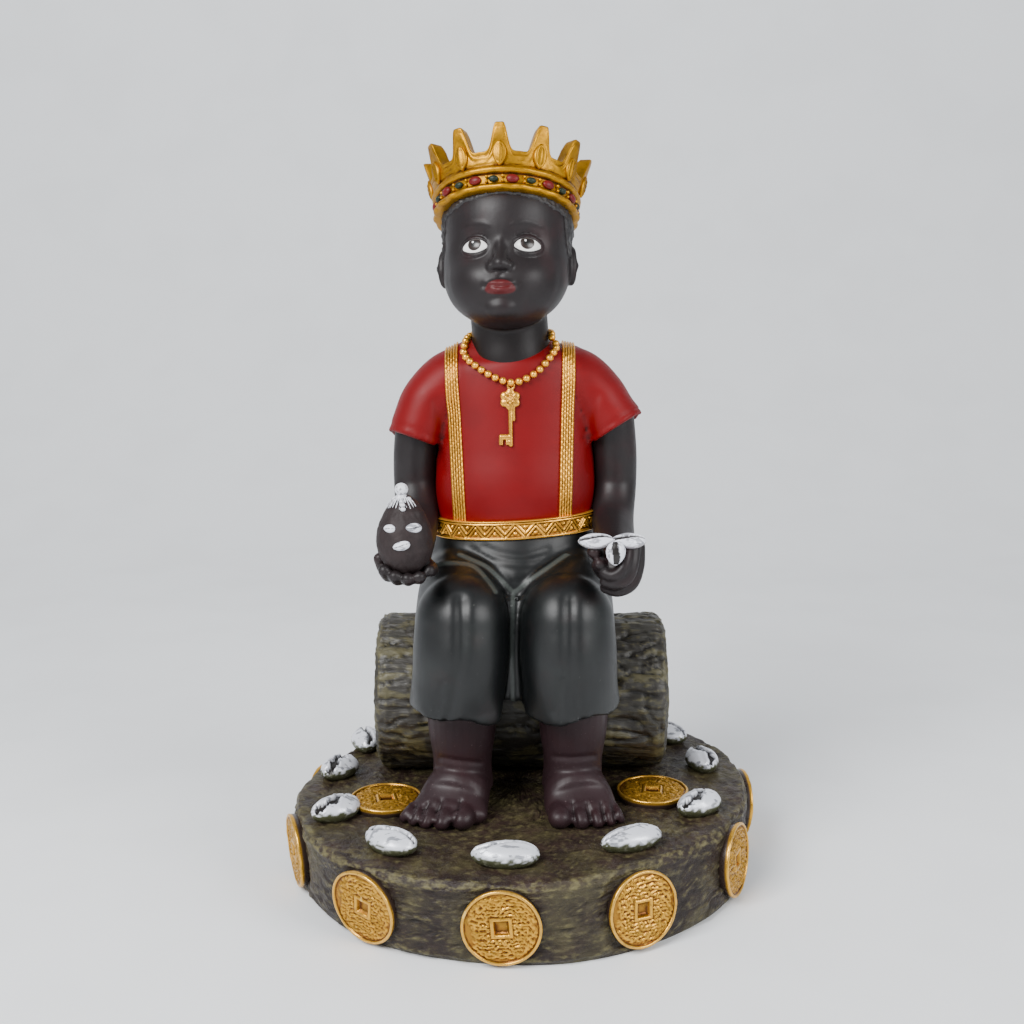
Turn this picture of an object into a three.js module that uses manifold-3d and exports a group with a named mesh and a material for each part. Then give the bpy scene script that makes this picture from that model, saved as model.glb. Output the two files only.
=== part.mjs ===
// A seated child figure of painted cast resin: it sits on a log, wears a crown and holds a small
// egg-shaped head and three cowrie shells, and it stands on a round plinth set with coins and shells.
// Millimetres, +Z up. The origin is the centre of the plinth's underside, and the figure faces -Y.
import * as THREE from "three";
import { mergeVertices } from "three/addons/utils/BufferGeometryUtils.js";
import Module from "manifold-3d";

const wasm = await Module();
wasm.setup();

const PLINTH_RADIUS = 88;
const PLINTH_HEIGHT = 30;
const COIN_RADIUS = 13.7;
const SHELL_LENGTH = 22;
const LOG_RADIUS = 31;
const LOG_LENGTH = 113;
const BODY_X = -1.5;
const BODY_Y = 10;
const BELT_BOTTOM = 130.5;
const HEM = 71.5;
const HEAD_CENTRE = [-4.5, 7, 232.5];
const CROWN_RADIUS = 26.4;
const CROWN_HEIGHT = 23.5;
const CROWN_POINTS = 12;

const WELD = 1e-4;
const DEGREE = Math.PI / 180;
const TURN = Math.PI * 2;
const X = new THREE.Vector3(1, 0, 0);
const Y = new THREE.Vector3(0, 1, 0);
const vector = (x, y, z) => new THREE.Vector3(x, y, z);
const bump = (distance, width) => Math.exp(-((distance / width) ** 2));

// A closed geometry as a solid whose faces point out.
function solid(geometry) {
  geometry.deleteAttribute("normal");
  geometry.deleteAttribute("uv");
  const merged = mergeVertices(geometry, WELD);
  const make = (order) => {
    const triVerts = [];
    const index = merged.index.array;
    for (let i = 0; i < index.length; i += 3) {
      const corners = order.map((k) => index[i + k]);
      if (new Set(corners).size === 3) triVerts.push(...corners);
    }
    const vertProperties = merged.attributes.position.array;
    return new wasm.Manifold(
      new wasm.Mesh({ numProp: 3, vertProperties, triVerts: Uint32Array.from(triVerts) })
    );
  };
  const made = make([0, 1, 2]);
  return made.volume() < 0 ? make([0, 2, 1]) : made;
}

const join = (solids) => solids.reduce((sum, next) => sum.add(next));

// A grid geometry's points set one by one: place(row, column) gives each point.
function reshape(geometry, rows, columns, place) {
  const position = geometry.getAttribute("position");
  for (let row = 0; row <= rows; row++) {
    for (let column = 0; column <= columns; column++) {
      const point = place(row, column % columns);
      position.setXYZ(row * (columns + 1) + column, point.x, point.y, point.z);
    }
  }
  return geometry;
}

// A skin over rings, each { at, right, front } with two half axes. Both ends close to a point.
function skin(rings, sides, shape = (point) => point) {
  const rows = rings.length - 1;
  const place = (row, column) => {
    const turn = (column / sides) * TURN;
    const { at, right, front } = rings[row];
    const point = at.clone().addScaledVector(right, Math.cos(turn));
    return shape(point.addScaledVector(front, Math.sin(turn)));
  };
  return solid(reshape(new THREE.SphereGeometry(1, sides, rows), rows, sides, place));
}

// A ring solid whose section changes round it: place(turn, corner) gives the section's corners.
function ringSolid(steps, corners, place) {
  const geometry = new THREE.TorusGeometry(1, 0.5, corners, steps);
  const at = (row, column) => place((column / steps) * TURN, row % corners);
  return solid(reshape(geometry, corners, steps, at));
}

// A limb along stations [x, y, z, half width, half depth]. Width runs along the axis given as side,
// and each end is flat (0) or rounded (1).
function limb(stations, options = {}) {
  const { sides = 10, side = X, ends = [1, 1], shape } = options;
  const curve = new THREE.CatmullRomCurve3(stations.map(([x, y, z]) => vector(x, y, z)));
  const last = stations.length - 1;
  const ring = (row, shift, scale) => {
    const along = curve.getTangent(row / last);
    const right = side.clone().addScaledVector(along, -side.dot(along)).normalize();
    const front = along.clone().cross(right);
    const [, , , halfWidth, halfDepth] = stations[row];
    return {
      at: curve.getPoint(row / last).addScaledVector(along, shift),
      right: right.multiplyScalar(halfWidth * scale),
      front: front.multiplyScalar(halfDepth * scale),
    };
  };
  const cap = (row, sign, rounded) => {
    const reach = stations[row][4] * sign;
    if (!rounded) return [ring(row, 0, 0)];
    return [0, 45].map((a) => ring(row, reach * Math.cos(a * DEGREE), Math.sin(a * DEGREE)));
  };
  const body = stations.map((station, row) => ring(row, 0, 1));
  const rings = [...cap(0, -1, ends[0]), ...body, ...cap(last, 1, ends[1]).reverse()];
  return skin(rings, sides, shape);
}

// A ball squeezed to three half sizes, turned by three angles in degrees, moved to its centre and
// then into a frame. Its detail is its steps round and from pole to pole.
function ball(centre, halves, turn, detail, frame = new THREE.Matrix4()) {
  const geometry = new THREE.SphereGeometry(1, ...detail).rotateX(Math.PI / 2).scale(...halves);
  const euler = new THREE.Euler(...turn.map((a) => a * DEGREE));
  const matrix = new THREE.Matrix4().makeRotationFromEuler(euler).setPosition(...centre);
  return solid(geometry.applyMatrix4(matrix).applyMatrix4(frame));
}

// A row of rounded ends, such as toes: balls [x, y, z, half width, half depth] with a pinch between.
function knuckles(balls, pinch, side) {
  const stations = balls.flatMap((ball, k) => {
    const next = balls[k + 1];
    if (!next) return [ball];
    const middle = ball.map((value, i) => (value + next[i]) / 2);
    return [ball, middle.map((value, i) => (i > 2 ? value * pinch : value))];
  });
  return limb(stations, { sides: 6, side });
}

const block = (centre, size) => solid(new THREE.BoxGeometry(...size).translate(...centre));

// The same stations on the other side of the body's middle.
const mirrored = (stations) => stations.map(([x, ...rest]) => [2 * BODY_X - x, ...rest]);

// PLINTH: an uneven round slab with coins on its side and top, and cowrie shells on its top.
const RIM_COIN_TURNS = [-104, -71, -36, -4, 29, 65, 100, 139, 178, 217];
const RIM_COIN_HEIGHT = 15.2;
const TOP_COINS = [
  [-50, -20.5],
  [51, -12.5],
];
const SHELLS = [
  [-122, 75, 95],
  [-97, 72, 55],
  [-65, 75, 40],
  [-37, 75, -35],
  [-4, 71, 0],
  [34, 70, 25],
  [68, 72, 40],
  [103, 76, 100],
  [128, 79, -45],
  [156, 72, 20],
  [184, 70, -15],
  [210, 68, 35],
];

// The slab's radius at a turn from the front (0) towards +X, at its underside (0) or its top (1).
// It is an oval set a little off its middle, and more so at the top.
function plinthRadius(turn, level) {
  const shift = (1.6 + 1.4 * level) * Math.cos(turn - 58 * DEGREE);
  const oval = (1.2 + 4.4 * level) * Math.cos(2 * (turn + 47 * DEGREE));
  return PLINTH_RADIUS + shift + oval + 0.5 * Math.sin(7 * turn);
}

function slab() {
  const levels = [
    [0, 0, 0],
    [0, 0.965, 0],
    [2.5, 0.99, 0.1],
    [27.5, 0.985, 0.95],
    [PLINTH_HEIGHT, 0.965, 1],
    [PLINTH_HEIGHT, 0, 1],
  ];
  const steps = 30;
  const place = (row, column) => {
    const turn = (column / steps) * TURN;
    const [height, share, level] = levels[row];
    const radius = plinthRadius(turn, level) * share;
    return vector(radius * Math.sin(turn), -radius * Math.cos(turn), height);
  };
  const rows = levels.length - 1;
  return solid(reshape(new THREE.SphereGeometry(1, steps, rows), rows, steps, place));
}

// A square-holed coin with a raised rim, its back on z = 0, with a foot sunk in what holds it.
function coin(matrix, thickness) {
  const foot = 4;
  const rim = 2.4;
  const dish = 0.8;
  const hole = 5;
  const profile = [
    [0, -foot],
    [COIN_RADIUS * 0.96, -foot],
    [COIN_RADIUS, thickness],
    [COIN_RADIUS - rim, thickness - dish],
    [0, thickness - dish],
  ].map(([r, z]) => new THREE.Vector2(r, z));
  const disc = new THREE.LatheGeometry(profile, 10).rotateX(Math.PI / 2);
  const punch = new THREE.BoxGeometry(hole, hole, 2).translate(0, 0, thickness);
  return solid(disc.applyMatrix4(matrix)).subtract(solid(punch.applyMatrix4(matrix)));
}

// A coin on the slab's side, leaning with the side where the top is wider than the underside.
function rimCoin(degrees) {
  const turn = degrees * DEGREE;
  const top = plinthRadius(turn, 1);
  const bottom = plinthRadius(turn, 0);
  const lean = Math.atan((top - bottom) / PLINTH_HEIGHT);
  const matrix = new THREE.Matrix4()
    .makeRotationZ(turn)
    .multiply(new THREE.Matrix4().makeTranslation(0, -(top + bottom) * 0.494, RIM_COIN_HEIGHT))
    .multiply(new THREE.Matrix4().makeRotationX(Math.PI / 2 + lean));
  return coin(matrix, 1.8);
}

function shell([degrees, radius, spin]) {
  const turn = degrees * DEGREE;
  const centre = [radius * Math.sin(turn), -radius * Math.cos(turn), PLINTH_HEIGHT + 3.6];
  return ball(centre, [SHELL_LENGTH / 2, SHELL_LENGTH * 0.34, 5.4], [0, 0, spin], [8, 3]);
}

function plinth() {
  const topCoins = TOP_COINS.map(([x, y]) =>
    coin(new THREE.Matrix4().makeTranslation(x, y, PLINTH_HEIGHT), 3)
  );
  return join([slab(), ...RIM_COIN_TURNS.map(rimCoin), ...topCoins, ...SHELLS.map(shell)]);
}

// LOG: a thick round log lying across the plinth, with ridged bark.
function log() {
  const middle = vector(1, 25, PLINTH_HEIGHT + LOG_RADIUS - 0.6);
  const steps = 20;
  const ends = [
    [-0.5, 0],
    [-0.5, 0.84],
    [-0.47, 0.97],
    [-0.2, 1],
    [0.2, 0.99],
    [0.47, 0.99],
    [0.5, 0.9],
    [0.5, 0],
  ];
  const place = (row, column) => {
    const turn = (column / steps) * TURN;
    const [along, share] = ends[row];
    const ridges = 0.8 * Math.sin(7 * turn + 9 * along);
    const radius = (LOG_RADIUS + ridges) * share;
    const offset = vector(along * LOG_LENGTH, radius * Math.cos(turn), radius * Math.sin(turn));
    return middle.clone().add(offset);
  };
  const rows = ends.length - 1;
  return solid(reshape(new THREE.SphereGeometry(1, steps, rows), rows, steps, place));
}

// TROUSERS: the seat on the log, two thighs coming forward, and wide legs hanging to open hems,
// joined down the middle by a fold of cloth. Each leg has a crease down its front.
const LEGS = [
  { hip: -19, knee: -20.5, hem: -23.5 },
  { hip: 16, knee: 17, hem: 19.5 },
];
const LEG_Y = -31;

function trouserLeg({ hip, knee, hem }) {
  const thigh = [
    [hip, 16, 110, 17.5, 20],
    [(hip + knee) / 2, -8, 108, 18, 18.6],
    [knee, LEG_Y + 2, 102, 17.4, 17.4],
  ];
  const crease = (point) => {
    const middle = knee + ((hem - knee) * (104 - point.z)) / 32;
    if (point.y < LEG_Y && point.z < 106) point.y += 2.6 * bump(point.x - middle, 3);
    return point;
  };
  const shin = [
    [knee, LEG_Y + 1.5, 105, 16.4, 16.4],
    [knee * 1.02, LEG_Y, 94, 17.6, 18.5],
    [hem, LEG_Y, HEM, 16.4, 17.5],
  ];
  return limb(thigh, { ends: [0, 1] }).add(limb(shin, { sides: 16, ends: [0, 0], shape: crease }));
}

function trousers() {
  const seat = [
    [BODY_X, 21, 92, 28, 20],
    [BODY_X, 12, 104, 34, 32],
    [BODY_X, 9, 116, 34, 30.5],
    [BODY_X, 9.5, 125, 31.8, 26],
    [BODY_X, BODY_Y, BELT_BOTTOM + 3, 29.5, 22.5],
  ];
  const fold = [
    [BODY_X, -18, 110, 10, 9],
    [BODY_X - 0.3, -22, 95, 9, 9],
    [BODY_X - 0.6, -22, HEM + 2, 8, 9],
  ];
  const middle = limb(seat, { sides: 16, ends: [0, 0] }).add(limb(fold, { sides: 6, ends: [0, 0] }));
  return join([middle, ...LEGS.map(trouserLeg)]);
}

// FEET: bare feet standing flat on the plinth. The toes run from the big toe outwards, each a little
// smaller and further back than the one before.
const FEET = [
  { ankle: [-21.2, -19], bigToe: [-20.4, -42.3], out: -1 },
  { ankle: [19.8, -19], bigToe: [15.5, -41.5], out: 1 },
];
const TOES = 5;

function foot({ ankle, bigToe, out }) {
  const floor = PLINTH_HEIGHT;
  const shin = [
    [ankle[0], ankle[1] - 4, 78, 12, 11],
    [ankle[0], ankle[1] - 1, 54, 11.6, 11],
    [ankle[0], ankle[1] + 1, 37, 11.4, 12.4],
  ];
  const ballOfFoot = bigToe[0] + out * 7.6;
  const across = (share) => ankle[0] + (ballOfFoot - ankle[0]) * share;
  const instep = [
    [ankle[0], ankle[1] + 5, floor + 5, 9.5, 8],
    [across(0.35), ankle[1] - 6, floor + 6.5, 12, 10.5],
    [across(0.75), ankle[1] - 15, floor + 4.4, 13.2, 7.4],
    [ballOfFoot, bigToe[1] + 4, floor + 3, 12.2, 4.6],
  ];
  const toes = [];
  for (let k = 0; k < TOES; k++) {
    const size = 4.3 * 0.84 ** k;
    const x = bigToe[0] + out * (7.4 * k - 0.56 * k ** 2);
    toes.push([x, bigToe[1] + 0.1 * k ** 3, floor + size * 0.8, size * 1.4, size]);
  }
  const leg = limb(shin, { sides: 8, ends: [0, 0] });
  return join([leg, limb(instep, { sides: 8, ends: [0, 1] }), knuckles(toes, 0.62, Y)]);
}

// SHIRT: a short-sleeved shirt pulled over the trousers' top, with braces and a belt over it.
const TORSO = [
  [BODY_X, BODY_Y, BELT_BOTTOM + 2, 29.6, 22],
  [BODY_X, BODY_Y - 1, 146, 30.3, 22.4],
  [BODY_X - 0.3, BODY_Y + 1, 174, 30, 19.6],
  [BODY_X - 0.6, BODY_Y + 1.5, 186, 29.4, 18.4],
  [BODY_X - 1, BODY_Y + 2, 194.5, 27.5, 17],
  [BODY_X - 1.3, BODY_Y + 2, 199, 23, 13],
  [BODY_X - 1.3, BODY_Y + 2, 202, 16, 9],
];
const SLEEVE = [
  [11.5, 12, 191, 9.5, 11],
  [21.5, 11.5, 187, 11.6, 13],
  [29.4, 10.5, 180, 11.4, 13.5],
  [34, 8.5, 172, 11, 13],
  [36, 7, 166.5, 10.8, 12.5],
];

const torso = (grow) =>
  limb(
    TORSO.map(([x, y, z, wide, deep]) => [x, y, z, wide + grow, deep + grow]),
    { sides: 16, ends: [0, 0] }
  );

function shirt() {
  const sleeves = [SLEEVE, mirrored(SLEEVE)];
  return join([torso(0), ...sleeves.map((sleeve) => limb(sleeve, { ends: [0, 0] }))]);
}

// The shirt front's place over a point of the chest.
function chestFront(x, z) {
  const i = TORSO.findIndex((ring) => ring[2] > z) - 1;
  const f = (z - TORSO[i][2]) / (TORSO[i + 1][2] - TORSO[i][2]);
  const [cx, cy, , wide, deep] = TORSO[i].map((value, k) => value + (TORSO[i + 1][k] - value) * f);
  return cy - deep * Math.sqrt(1 - ((x - cx) / wide) ** 2);
}

// Two gold braces: the shirt's own surface, grown a little, inside two upright slabs that lean out.
function braces() {
  const wide = 5.2;
  const brace = (side) => {
    const strip = new THREE.BoxGeometry(wide, 80, 74).translate(0, 0, 37);
    strip.rotateY(side * 2.2 * DEGREE).translate(BODY_X + side * 19.4, BODY_Y, 132);
    return solid(strip);
  };
  return torso(1).intersect(brace(-1).add(brace(1)));
}

function belt() {
  const stations = [
    [BODY_X, BODY_Y, BELT_BOTTOM, 30.4, 23],
    [BODY_X, BODY_Y - 0.2, BELT_BOTTOM + 1.6, 31.2, 23.8],
    [BODY_X, BODY_Y - 0.4, BELT_BOTTOM + 7, 31.4, 24],
  ];
  return limb(stations, { sides: 16, ends: [0, 0] });
}

// NECKLACE: a string of beads round the neck, with a key hanging from it on the chest.
function necklace() {
  const count = 26;
  const beads = [];
  for (let k = 0; k < count; k++) {
    const turn = (k / count) * TURN;
    const front = Math.max(0, Math.cos(turn));
    const x = BODY_X - 1.3 + 17 * Math.sin(turn);
    const z = 201.2 - 13 * front ** 1.3;
    const y = front ? chestFront(x, z) - 0.4 : BODY_Y - 13 * Math.cos(turn);
    beads.push(solid(new THREE.OctahedronGeometry(2.4).translate(x, y, z)));
  }
  return join(beads);
}

function key() {
  const bow = [];
  for (let k = 0; k < 10; k++) {
    const turn = (k / 10) * TURN;
    const radius = 3.2 + 0.5 * Math.cos(5 * turn);
    bow.push(new THREE.Vector2(radius * Math.sin(turn), radius * Math.cos(turn)));
  }
  const depth = 3;
  const pieces = [
    new THREE.ExtrudeGeometry(new THREE.Shape(bow), { depth, bevelEnabled: false }),
    new THREE.BoxGeometry(1.3, 14.6, depth).translate(0, -9, depth / 2),
    new THREE.BoxGeometry(3.4, 3.6, depth).translate(-2, -14.4, depth / 2),
  ];
  const lean = 81 * DEGREE;
  const y = chestFront(BODY_X - 1.6, 181.8) + 0.8;
  return join(pieces.map((piece) => solid(piece.rotateX(lean).translate(BODY_X - 1.6, y, 181.8))));
}

// ARMS: bare arms bent at the elbow. The figure's right hand cups the egg-shaped head, and its left
// hand is a loose fist with three shells lying on it.
const ARM = [
  [35.4, 8, 176, 8.3, 8.6],
  [36.6, 9.5, 160, 8.3, 8.6],
  [36.6, 10, 147, 8.2, 8.4],
  [35.4, 2, 136.5, 8, 7.6],
  [35.2, -12, 131, 7.4, 6.8],
  [35.2, -25, 128, 6.4, 5.8],
];
const EGG = { x: -40, y: -43, bottom: 124, height: 29, radius: 10.2 };

const arms = () => join([ARM, mirrored(ARM)].map((arm) => limb(arm, { ends: [0, 0] })));

function cuppedHand() {
  const palm = [
    [-39.4, -22, 128.4, 6.4, 5.8],
    [-39.6, -32, 126.4, 8.2, 4.6],
    [-40, -42, 125.6, 8.2, 3.4],
  ];
  const thumb = [
    [-34, -33, 126.6, 2.8, 2.6],
    [-32, -42, 127.4, 2.5, 2.4],
    [-33.6, -49, 128.2, 2.1, 2.1],
  ];
  const fingers = [
    [-48.4, -45.6, 130, 2.7, 2.3],
    [-46.2, -49.4, 127, 2.7, 2.4],
    [-42.4, -51.4, 125.5, 2.7, 2.5],
    [-38, -52, 125, 2.7, 2.5],
  ];
  return join([limb(palm), limb(thumb, { sides: 6 }), knuckles(fingers, 0.64, Y)]);
}

function egg() {
  const rows = [0, 0.06, 0.25, 0.45, 0.65, 0.85, 1];
  const girth = (t) => EGG.radius * Math.sin(Math.PI * t ** 0.9) ** 0.55 * (1.04 - 0.17 * t);
  const rings = rows.map((t) => ({
    at: vector(EGG.x, EGG.y, EGG.bottom + EGG.height * t),
    right: vector(t % 1 ? girth(t) : 0, 0, 0),
    front: vector(0, t % 1 ? girth(t) : 0, 0),
  }));
  const front = EGG.y - EGG.radius;
  const [eye, mouth] = [142.6, 137];
  return join([
    skin(rings, 11),
    ball([EGG.x - 4.3, front + 1.4, eye], [2.5, 1.6, 1.4], [0, 0, -20], [6, 2]),
    ball([EGG.x + 4, front + 1.4, eye + 0.3], [2.8, 1.6, 1.5], [0, 0, 20], [6, 2]),
    ball([EGG.x - 0.1, front + 0.6, mouth], [2.8, 1.6, 1.5], [0, -8, 0], [6, 2]),
    ball([EGG.x - 0.3, EGG.y - 0.6, 154], [2.6, 2.6, 4], [0, 0, 0], [7, 4]),
  ]);
}

// The fist's four fingers lie one on another round its front and outer side.
function closedFist() {
  const girths = [0, 0.72, 0.97, 0.86, 1.02, 0.9, 1.05, 0.93, 1, 0.84, 0];
  const rings = girths.map((girth, k) => ({
    at: vector(33.6 + 0.12 * k, -38 + 0.3 * k, 116.4 + 2 * k),
    right: vector(9.2 * girth, 1.5 * girth, 2.4 * girth),
    front: vector(0, 11 * girth, 0),
  }));
  return skin(rings, 10);
}

function heldShells() {
  return join([
    ball([27.6, -43, 136.2], [6.6, 4.6, 3], [0, 8, 10], [8, 4]),
    ball([38.2, -42.6, 136.4], [6.6, 4.6, 3], [0, -6, -10], [8, 4]),
    ball([32.9, -47.8, 133.2], [3.2, 2.6, 4.6], [-12, 0, 0], [7, 4]),
  ]);
}

// HEAD: worked in its own frame, which leans back, turns a little and tips a little.
const headFrame = new THREE.Matrix4()
  .makeRotationFromEuler(new THREE.Euler(-16 * DEGREE, -1.5 * DEGREE, -5.5 * DEGREE, "ZYX"))
  .setPosition(...HEAD_CENTRE);
// Rings of the skull from the chin up: height, half width, front and back.
const SKULL = [
  [-28, 0, -13, -5],
  [-27, 7, -19, 0],
  [-24, 13.5, -21.6, 6],
  [-19, 19, -22.8, 12],
  [-12, 22.4, -23.4, 18],
  [-4, 23.4, -22.8, 24],
  [4, 23.4, -23.2, 27],
  [12, 23.8, -24, 27.4],
  [20, 21.6, -21.4, 24.6],
  [28, 10, -9, 12],
  [29.6, 0, 1, 3],
];
const EYE = { apart: 9.4, height: -1.5 };

function head() {
  const rings = SKULL.map(([z, wide, front, back]) => ({
    at: vector(0, (front + back) / 2, z),
    right: vector(wide, 0, 0),
    front: vector(0, wide ? (back - front) / 2 : 0, 0),
  }));
  const face = (point) => {
    if (point.y < 0) {
      const sockets = bump(Math.abs(point.x) - EYE.apart, 5.5) * bump(point.z - EYE.height, 5);
      point.y += 2.4 * sockets;
    }
    return point.applyMatrix4(headFrame);
  };
  const part = (centre, halves, turn = [0, 0, 0]) => ball(centre, halves, turn, [7, 4], headFrame);
  const pairs = [-1, 1].flatMap((side) => [
    part([side * EYE.apart, -17.4, EYE.height], [5, 4, 3.8]),
    part([side * 23.8, 3, -3], [2.4, 4.6, 7], [0, 0, side * 22]),
  ]);
  const nose = part([0, -23.6, -8.8], [4.2, 3.4, 3], [24, 0, 0]);
  const lips = part([0, -22.8, -16.6], [4.8, 2.4, 2.1]);
  return join([skin(rings, 16, face), nose, lips, ...pairs]);
}

function neck() {
  const stations = [
    [BODY_X - 1.2, BODY_Y, 190, 13.8, 13.4],
    [BODY_X - 1.6, BODY_Y - 1, 203, 13.2, 12.8],
    [HEAD_CENTRE[0], BODY_Y - 1, 218, 13, 12.6],
  ];
  return limb(stations, { sides: 14, ends: [0, 0] });
}

// CROWN: a flared band with twelve points and a leaf under each point. It sits tipped further back
// than the head.
const CROWN_AT = vector(-4.85, 11, 245.7);
const CROWN_FLARE = 4.8;
const CROWN_WALL = 4.2;
const BAND_HEIGHT = 8.6;
const VALLEY_HEIGHT = 14;
const crownFrame = new THREE.Matrix4()
  .makeRotationFromEuler(new THREE.Euler(-24.8 * DEGREE, -1.2 * DEGREE, -4.9 * DEGREE, "ZYX"))
  .setPosition(CROWN_AT);

function crown() {
  const pitch = TURN / CROWN_POINTS;
  const place = (turn, corner) => {
    const fromTip = Math.abs(((turn / pitch + 0.5) % 1) - 0.5) * 2;
    const top = VALLEY_HEIGHT + (CROWN_HEIGHT - VALLEY_HEIGHT) * (1 - fromTip) ** 1.7;
    const flare = (CROWN_FLARE * (top - BAND_HEIGHT)) / (CROWN_HEIGHT - BAND_HEIGHT);
    const [out, height] = [
      [-CROWN_WALL, 0],
      [0.5, 0],
      [-0.6, 3],
      [0.6, BAND_HEIGHT - 0.8],
      [flare, top],
      [flare - CROWN_WALL, top],
    ][corner];
    const radius = CROWN_RADIUS + out;
    return vector(radius * Math.sin(turn), -radius * Math.cos(turn), height).applyMatrix4(crownFrame);
  };
  const leaves = [];
  for (let k = 0; k < CROWN_POINTS; k++) {
    const geometry = new THREE.OctahedronGeometry(1).scale(2.7, 2.6, 4.8).rotateX(-14 * DEGREE);
    geometry.translate(0, -CROWN_RADIUS - 1, 12.4).rotateZ(k * pitch);
    leaves.push(solid(geometry.applyMatrix4(crownFrame)));
  }
  return join([ringSolid(CROWN_POINTS * 4, 6, place), ...leaves]);
}

function figure() {
  const floor = block([0, 0, PLINTH_HEIGHT - 25], [300, 300, 50]);
  const lower = [log(), trousers(), ...FEET.map(foot)];
  const clothes = [shirt(), braces(), belt(), necklace(), key()];
  const held = [arms(), cuppedHand(), egg(), closedFist(), heldShells()];
  return join([...lower, ...clothes, ...held, neck(), head(), crown()]).subtract(floor);
}

// A solid as a named mesh with a painted-resin material.
function mesh(name, made, colour, roughness) {
  const { numProp, numVert, vertProperties, triVerts } = made.getMesh();
  const points = new Float32Array(numVert * 3);
  for (let i = 0; i < numVert; i++) {
    points.set(vertProperties.subarray(i * numProp, i * numProp + 3), i * 3);
  }
  const geometry = new THREE.BufferGeometry();
  geometry.setAttribute("position", new THREE.BufferAttribute(points, 3));
  geometry.setIndex(new THREE.BufferAttribute(triVerts, 1));
  const material = new THREE.MeshStandardMaterial({ color: colour, roughness, metalness: 0 });
  const result = new THREE.Mesh(geometry, material);
  result.name = name;
  return result;
}

const group = new THREE.Group();
group.add(mesh("plinth", plinth(), 0x4b4234, 0.75));
group.add(mesh("seated_figure", figure(), 0x33292a, 0.5));

export default group;
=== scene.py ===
from math import atan2, cos, pi, radians, sin

import bmesh
import bpy
import numpy as np
from bpy.props import FloatProperty, FloatVectorProperty, PointerProperty
from mathutils import Euler, Matrix, Vector
from mathutils.bvhtree import BVHTree


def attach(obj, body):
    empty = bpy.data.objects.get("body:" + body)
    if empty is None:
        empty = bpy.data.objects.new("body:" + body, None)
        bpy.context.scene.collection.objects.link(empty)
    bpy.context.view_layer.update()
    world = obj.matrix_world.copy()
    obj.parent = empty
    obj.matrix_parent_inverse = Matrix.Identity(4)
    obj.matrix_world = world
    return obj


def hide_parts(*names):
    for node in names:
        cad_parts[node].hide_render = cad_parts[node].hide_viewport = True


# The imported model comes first: every piece is made in its frame, in metres.
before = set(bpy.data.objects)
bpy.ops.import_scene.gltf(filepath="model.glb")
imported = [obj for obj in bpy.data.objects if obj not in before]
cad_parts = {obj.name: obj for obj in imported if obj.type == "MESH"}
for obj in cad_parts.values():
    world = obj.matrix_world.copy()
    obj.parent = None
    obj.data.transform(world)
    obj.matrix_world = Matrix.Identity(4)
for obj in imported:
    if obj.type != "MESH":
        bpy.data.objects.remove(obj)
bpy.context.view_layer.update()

bl_info = {
    "name": "Seated crowned figure",
    "version": (1, 0, 0),
    "blender": (4, 5, 0),
    "location": "3D View > Sidebar > Figure",
    "description": "Builds a painted resin figure on a log, over a round plinth with coins and shells",
    "category": "Add Mesh",
}

# Shapes are worked in millimetres and scaled to metres as each piece is finished.
MM = 0.001
X, Y, Z = Vector((1, 0, 0)), Vector((0, 1, 0)), Vector((0, 0, 1))
TURN = 2 * pi

# The camera, fitted to the photograph's frame.
PHOTO_SIZE = 1024
FOCAL_PIXELS = 1400
CAMERA_AT = (-2.7, -517.3, 241.4)
CAMERA_PITCH = 11.274

# The body, in the same stations as the solids: x, y, z, half width, half depth.
BODY_X = -1.5
TORSO = [
    (-1.5, 10, 132.5, 29.6, 22),
    (-1.5, 9, 146, 30.3, 22.4),
    (-1.6, 10, 160, 30, 20.8),
    (-1.8, 11, 174, 30, 19.6),
    (-2.1, 11.5, 186, 29.4, 18.4),
    (-2.5, 12, 194.5, 27.5, 17),
    (-2.8, 12, 199, 23, 13),
    (-2.8, 12, 202, 16, 9),
]
SLEEVE = [
    (11.5, 12, 191, 9.5, 11),
    (21.5, 11.5, 187, 11.6, 13),
    (29.4, 10.5, 180, 11.4, 13.5),
    (34, 8.5, 172, 11, 13),
    (36.2, 7, 166.5, 11, 12.7),
]
ARM = [
    (34.8, 8, 176, 8.3, 8.6),
    (36.4, 9.5, 160, 8.3, 8.6),
    (36.6, 10, 147, 8.2, 8.4),
    (35.4, 2, 136.5, 8, 7.6),
    (35.2, -12, 131, 7.4, 6.8),
    (35.2, -25, 128, 6.6, 6),
]
NECK = [
    (-2.9, 8.8, 188, 15, 12.6),
    (-3.0, 8.8, 195, 15.2, 13.9),
    (-3.3, 9, 204, 14.4, 13.4),
    (-4.5, 9, 218, 14.4, 13.2),
]
BELT_AT = (-1.5, 9.6, 134)
BELT_HALVES = (31.4, 24)
HEM = 71.5
LEG_Y = -31
LEGS = [(-19, -20.5, -23.5), (16, 17, 19.5)]
EGG = {"x": -40, "y": -43, "bottom": 124, "height": 29, "radius": 10.2}
HEAD_FRAME = Matrix.Translation((-4.5, 7, 232.5)) @ Euler(
    (radians(-16), radians(-1.5), radians(-5.5))
).to_matrix().to_4x4()
CROWN_FRAME = Matrix.Translation((-4.85, 11, 245.7)) @ Euler(
    (radians(-24.8), radians(-1.2), radians(-4.9))
).to_matrix().to_4x4()
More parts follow.
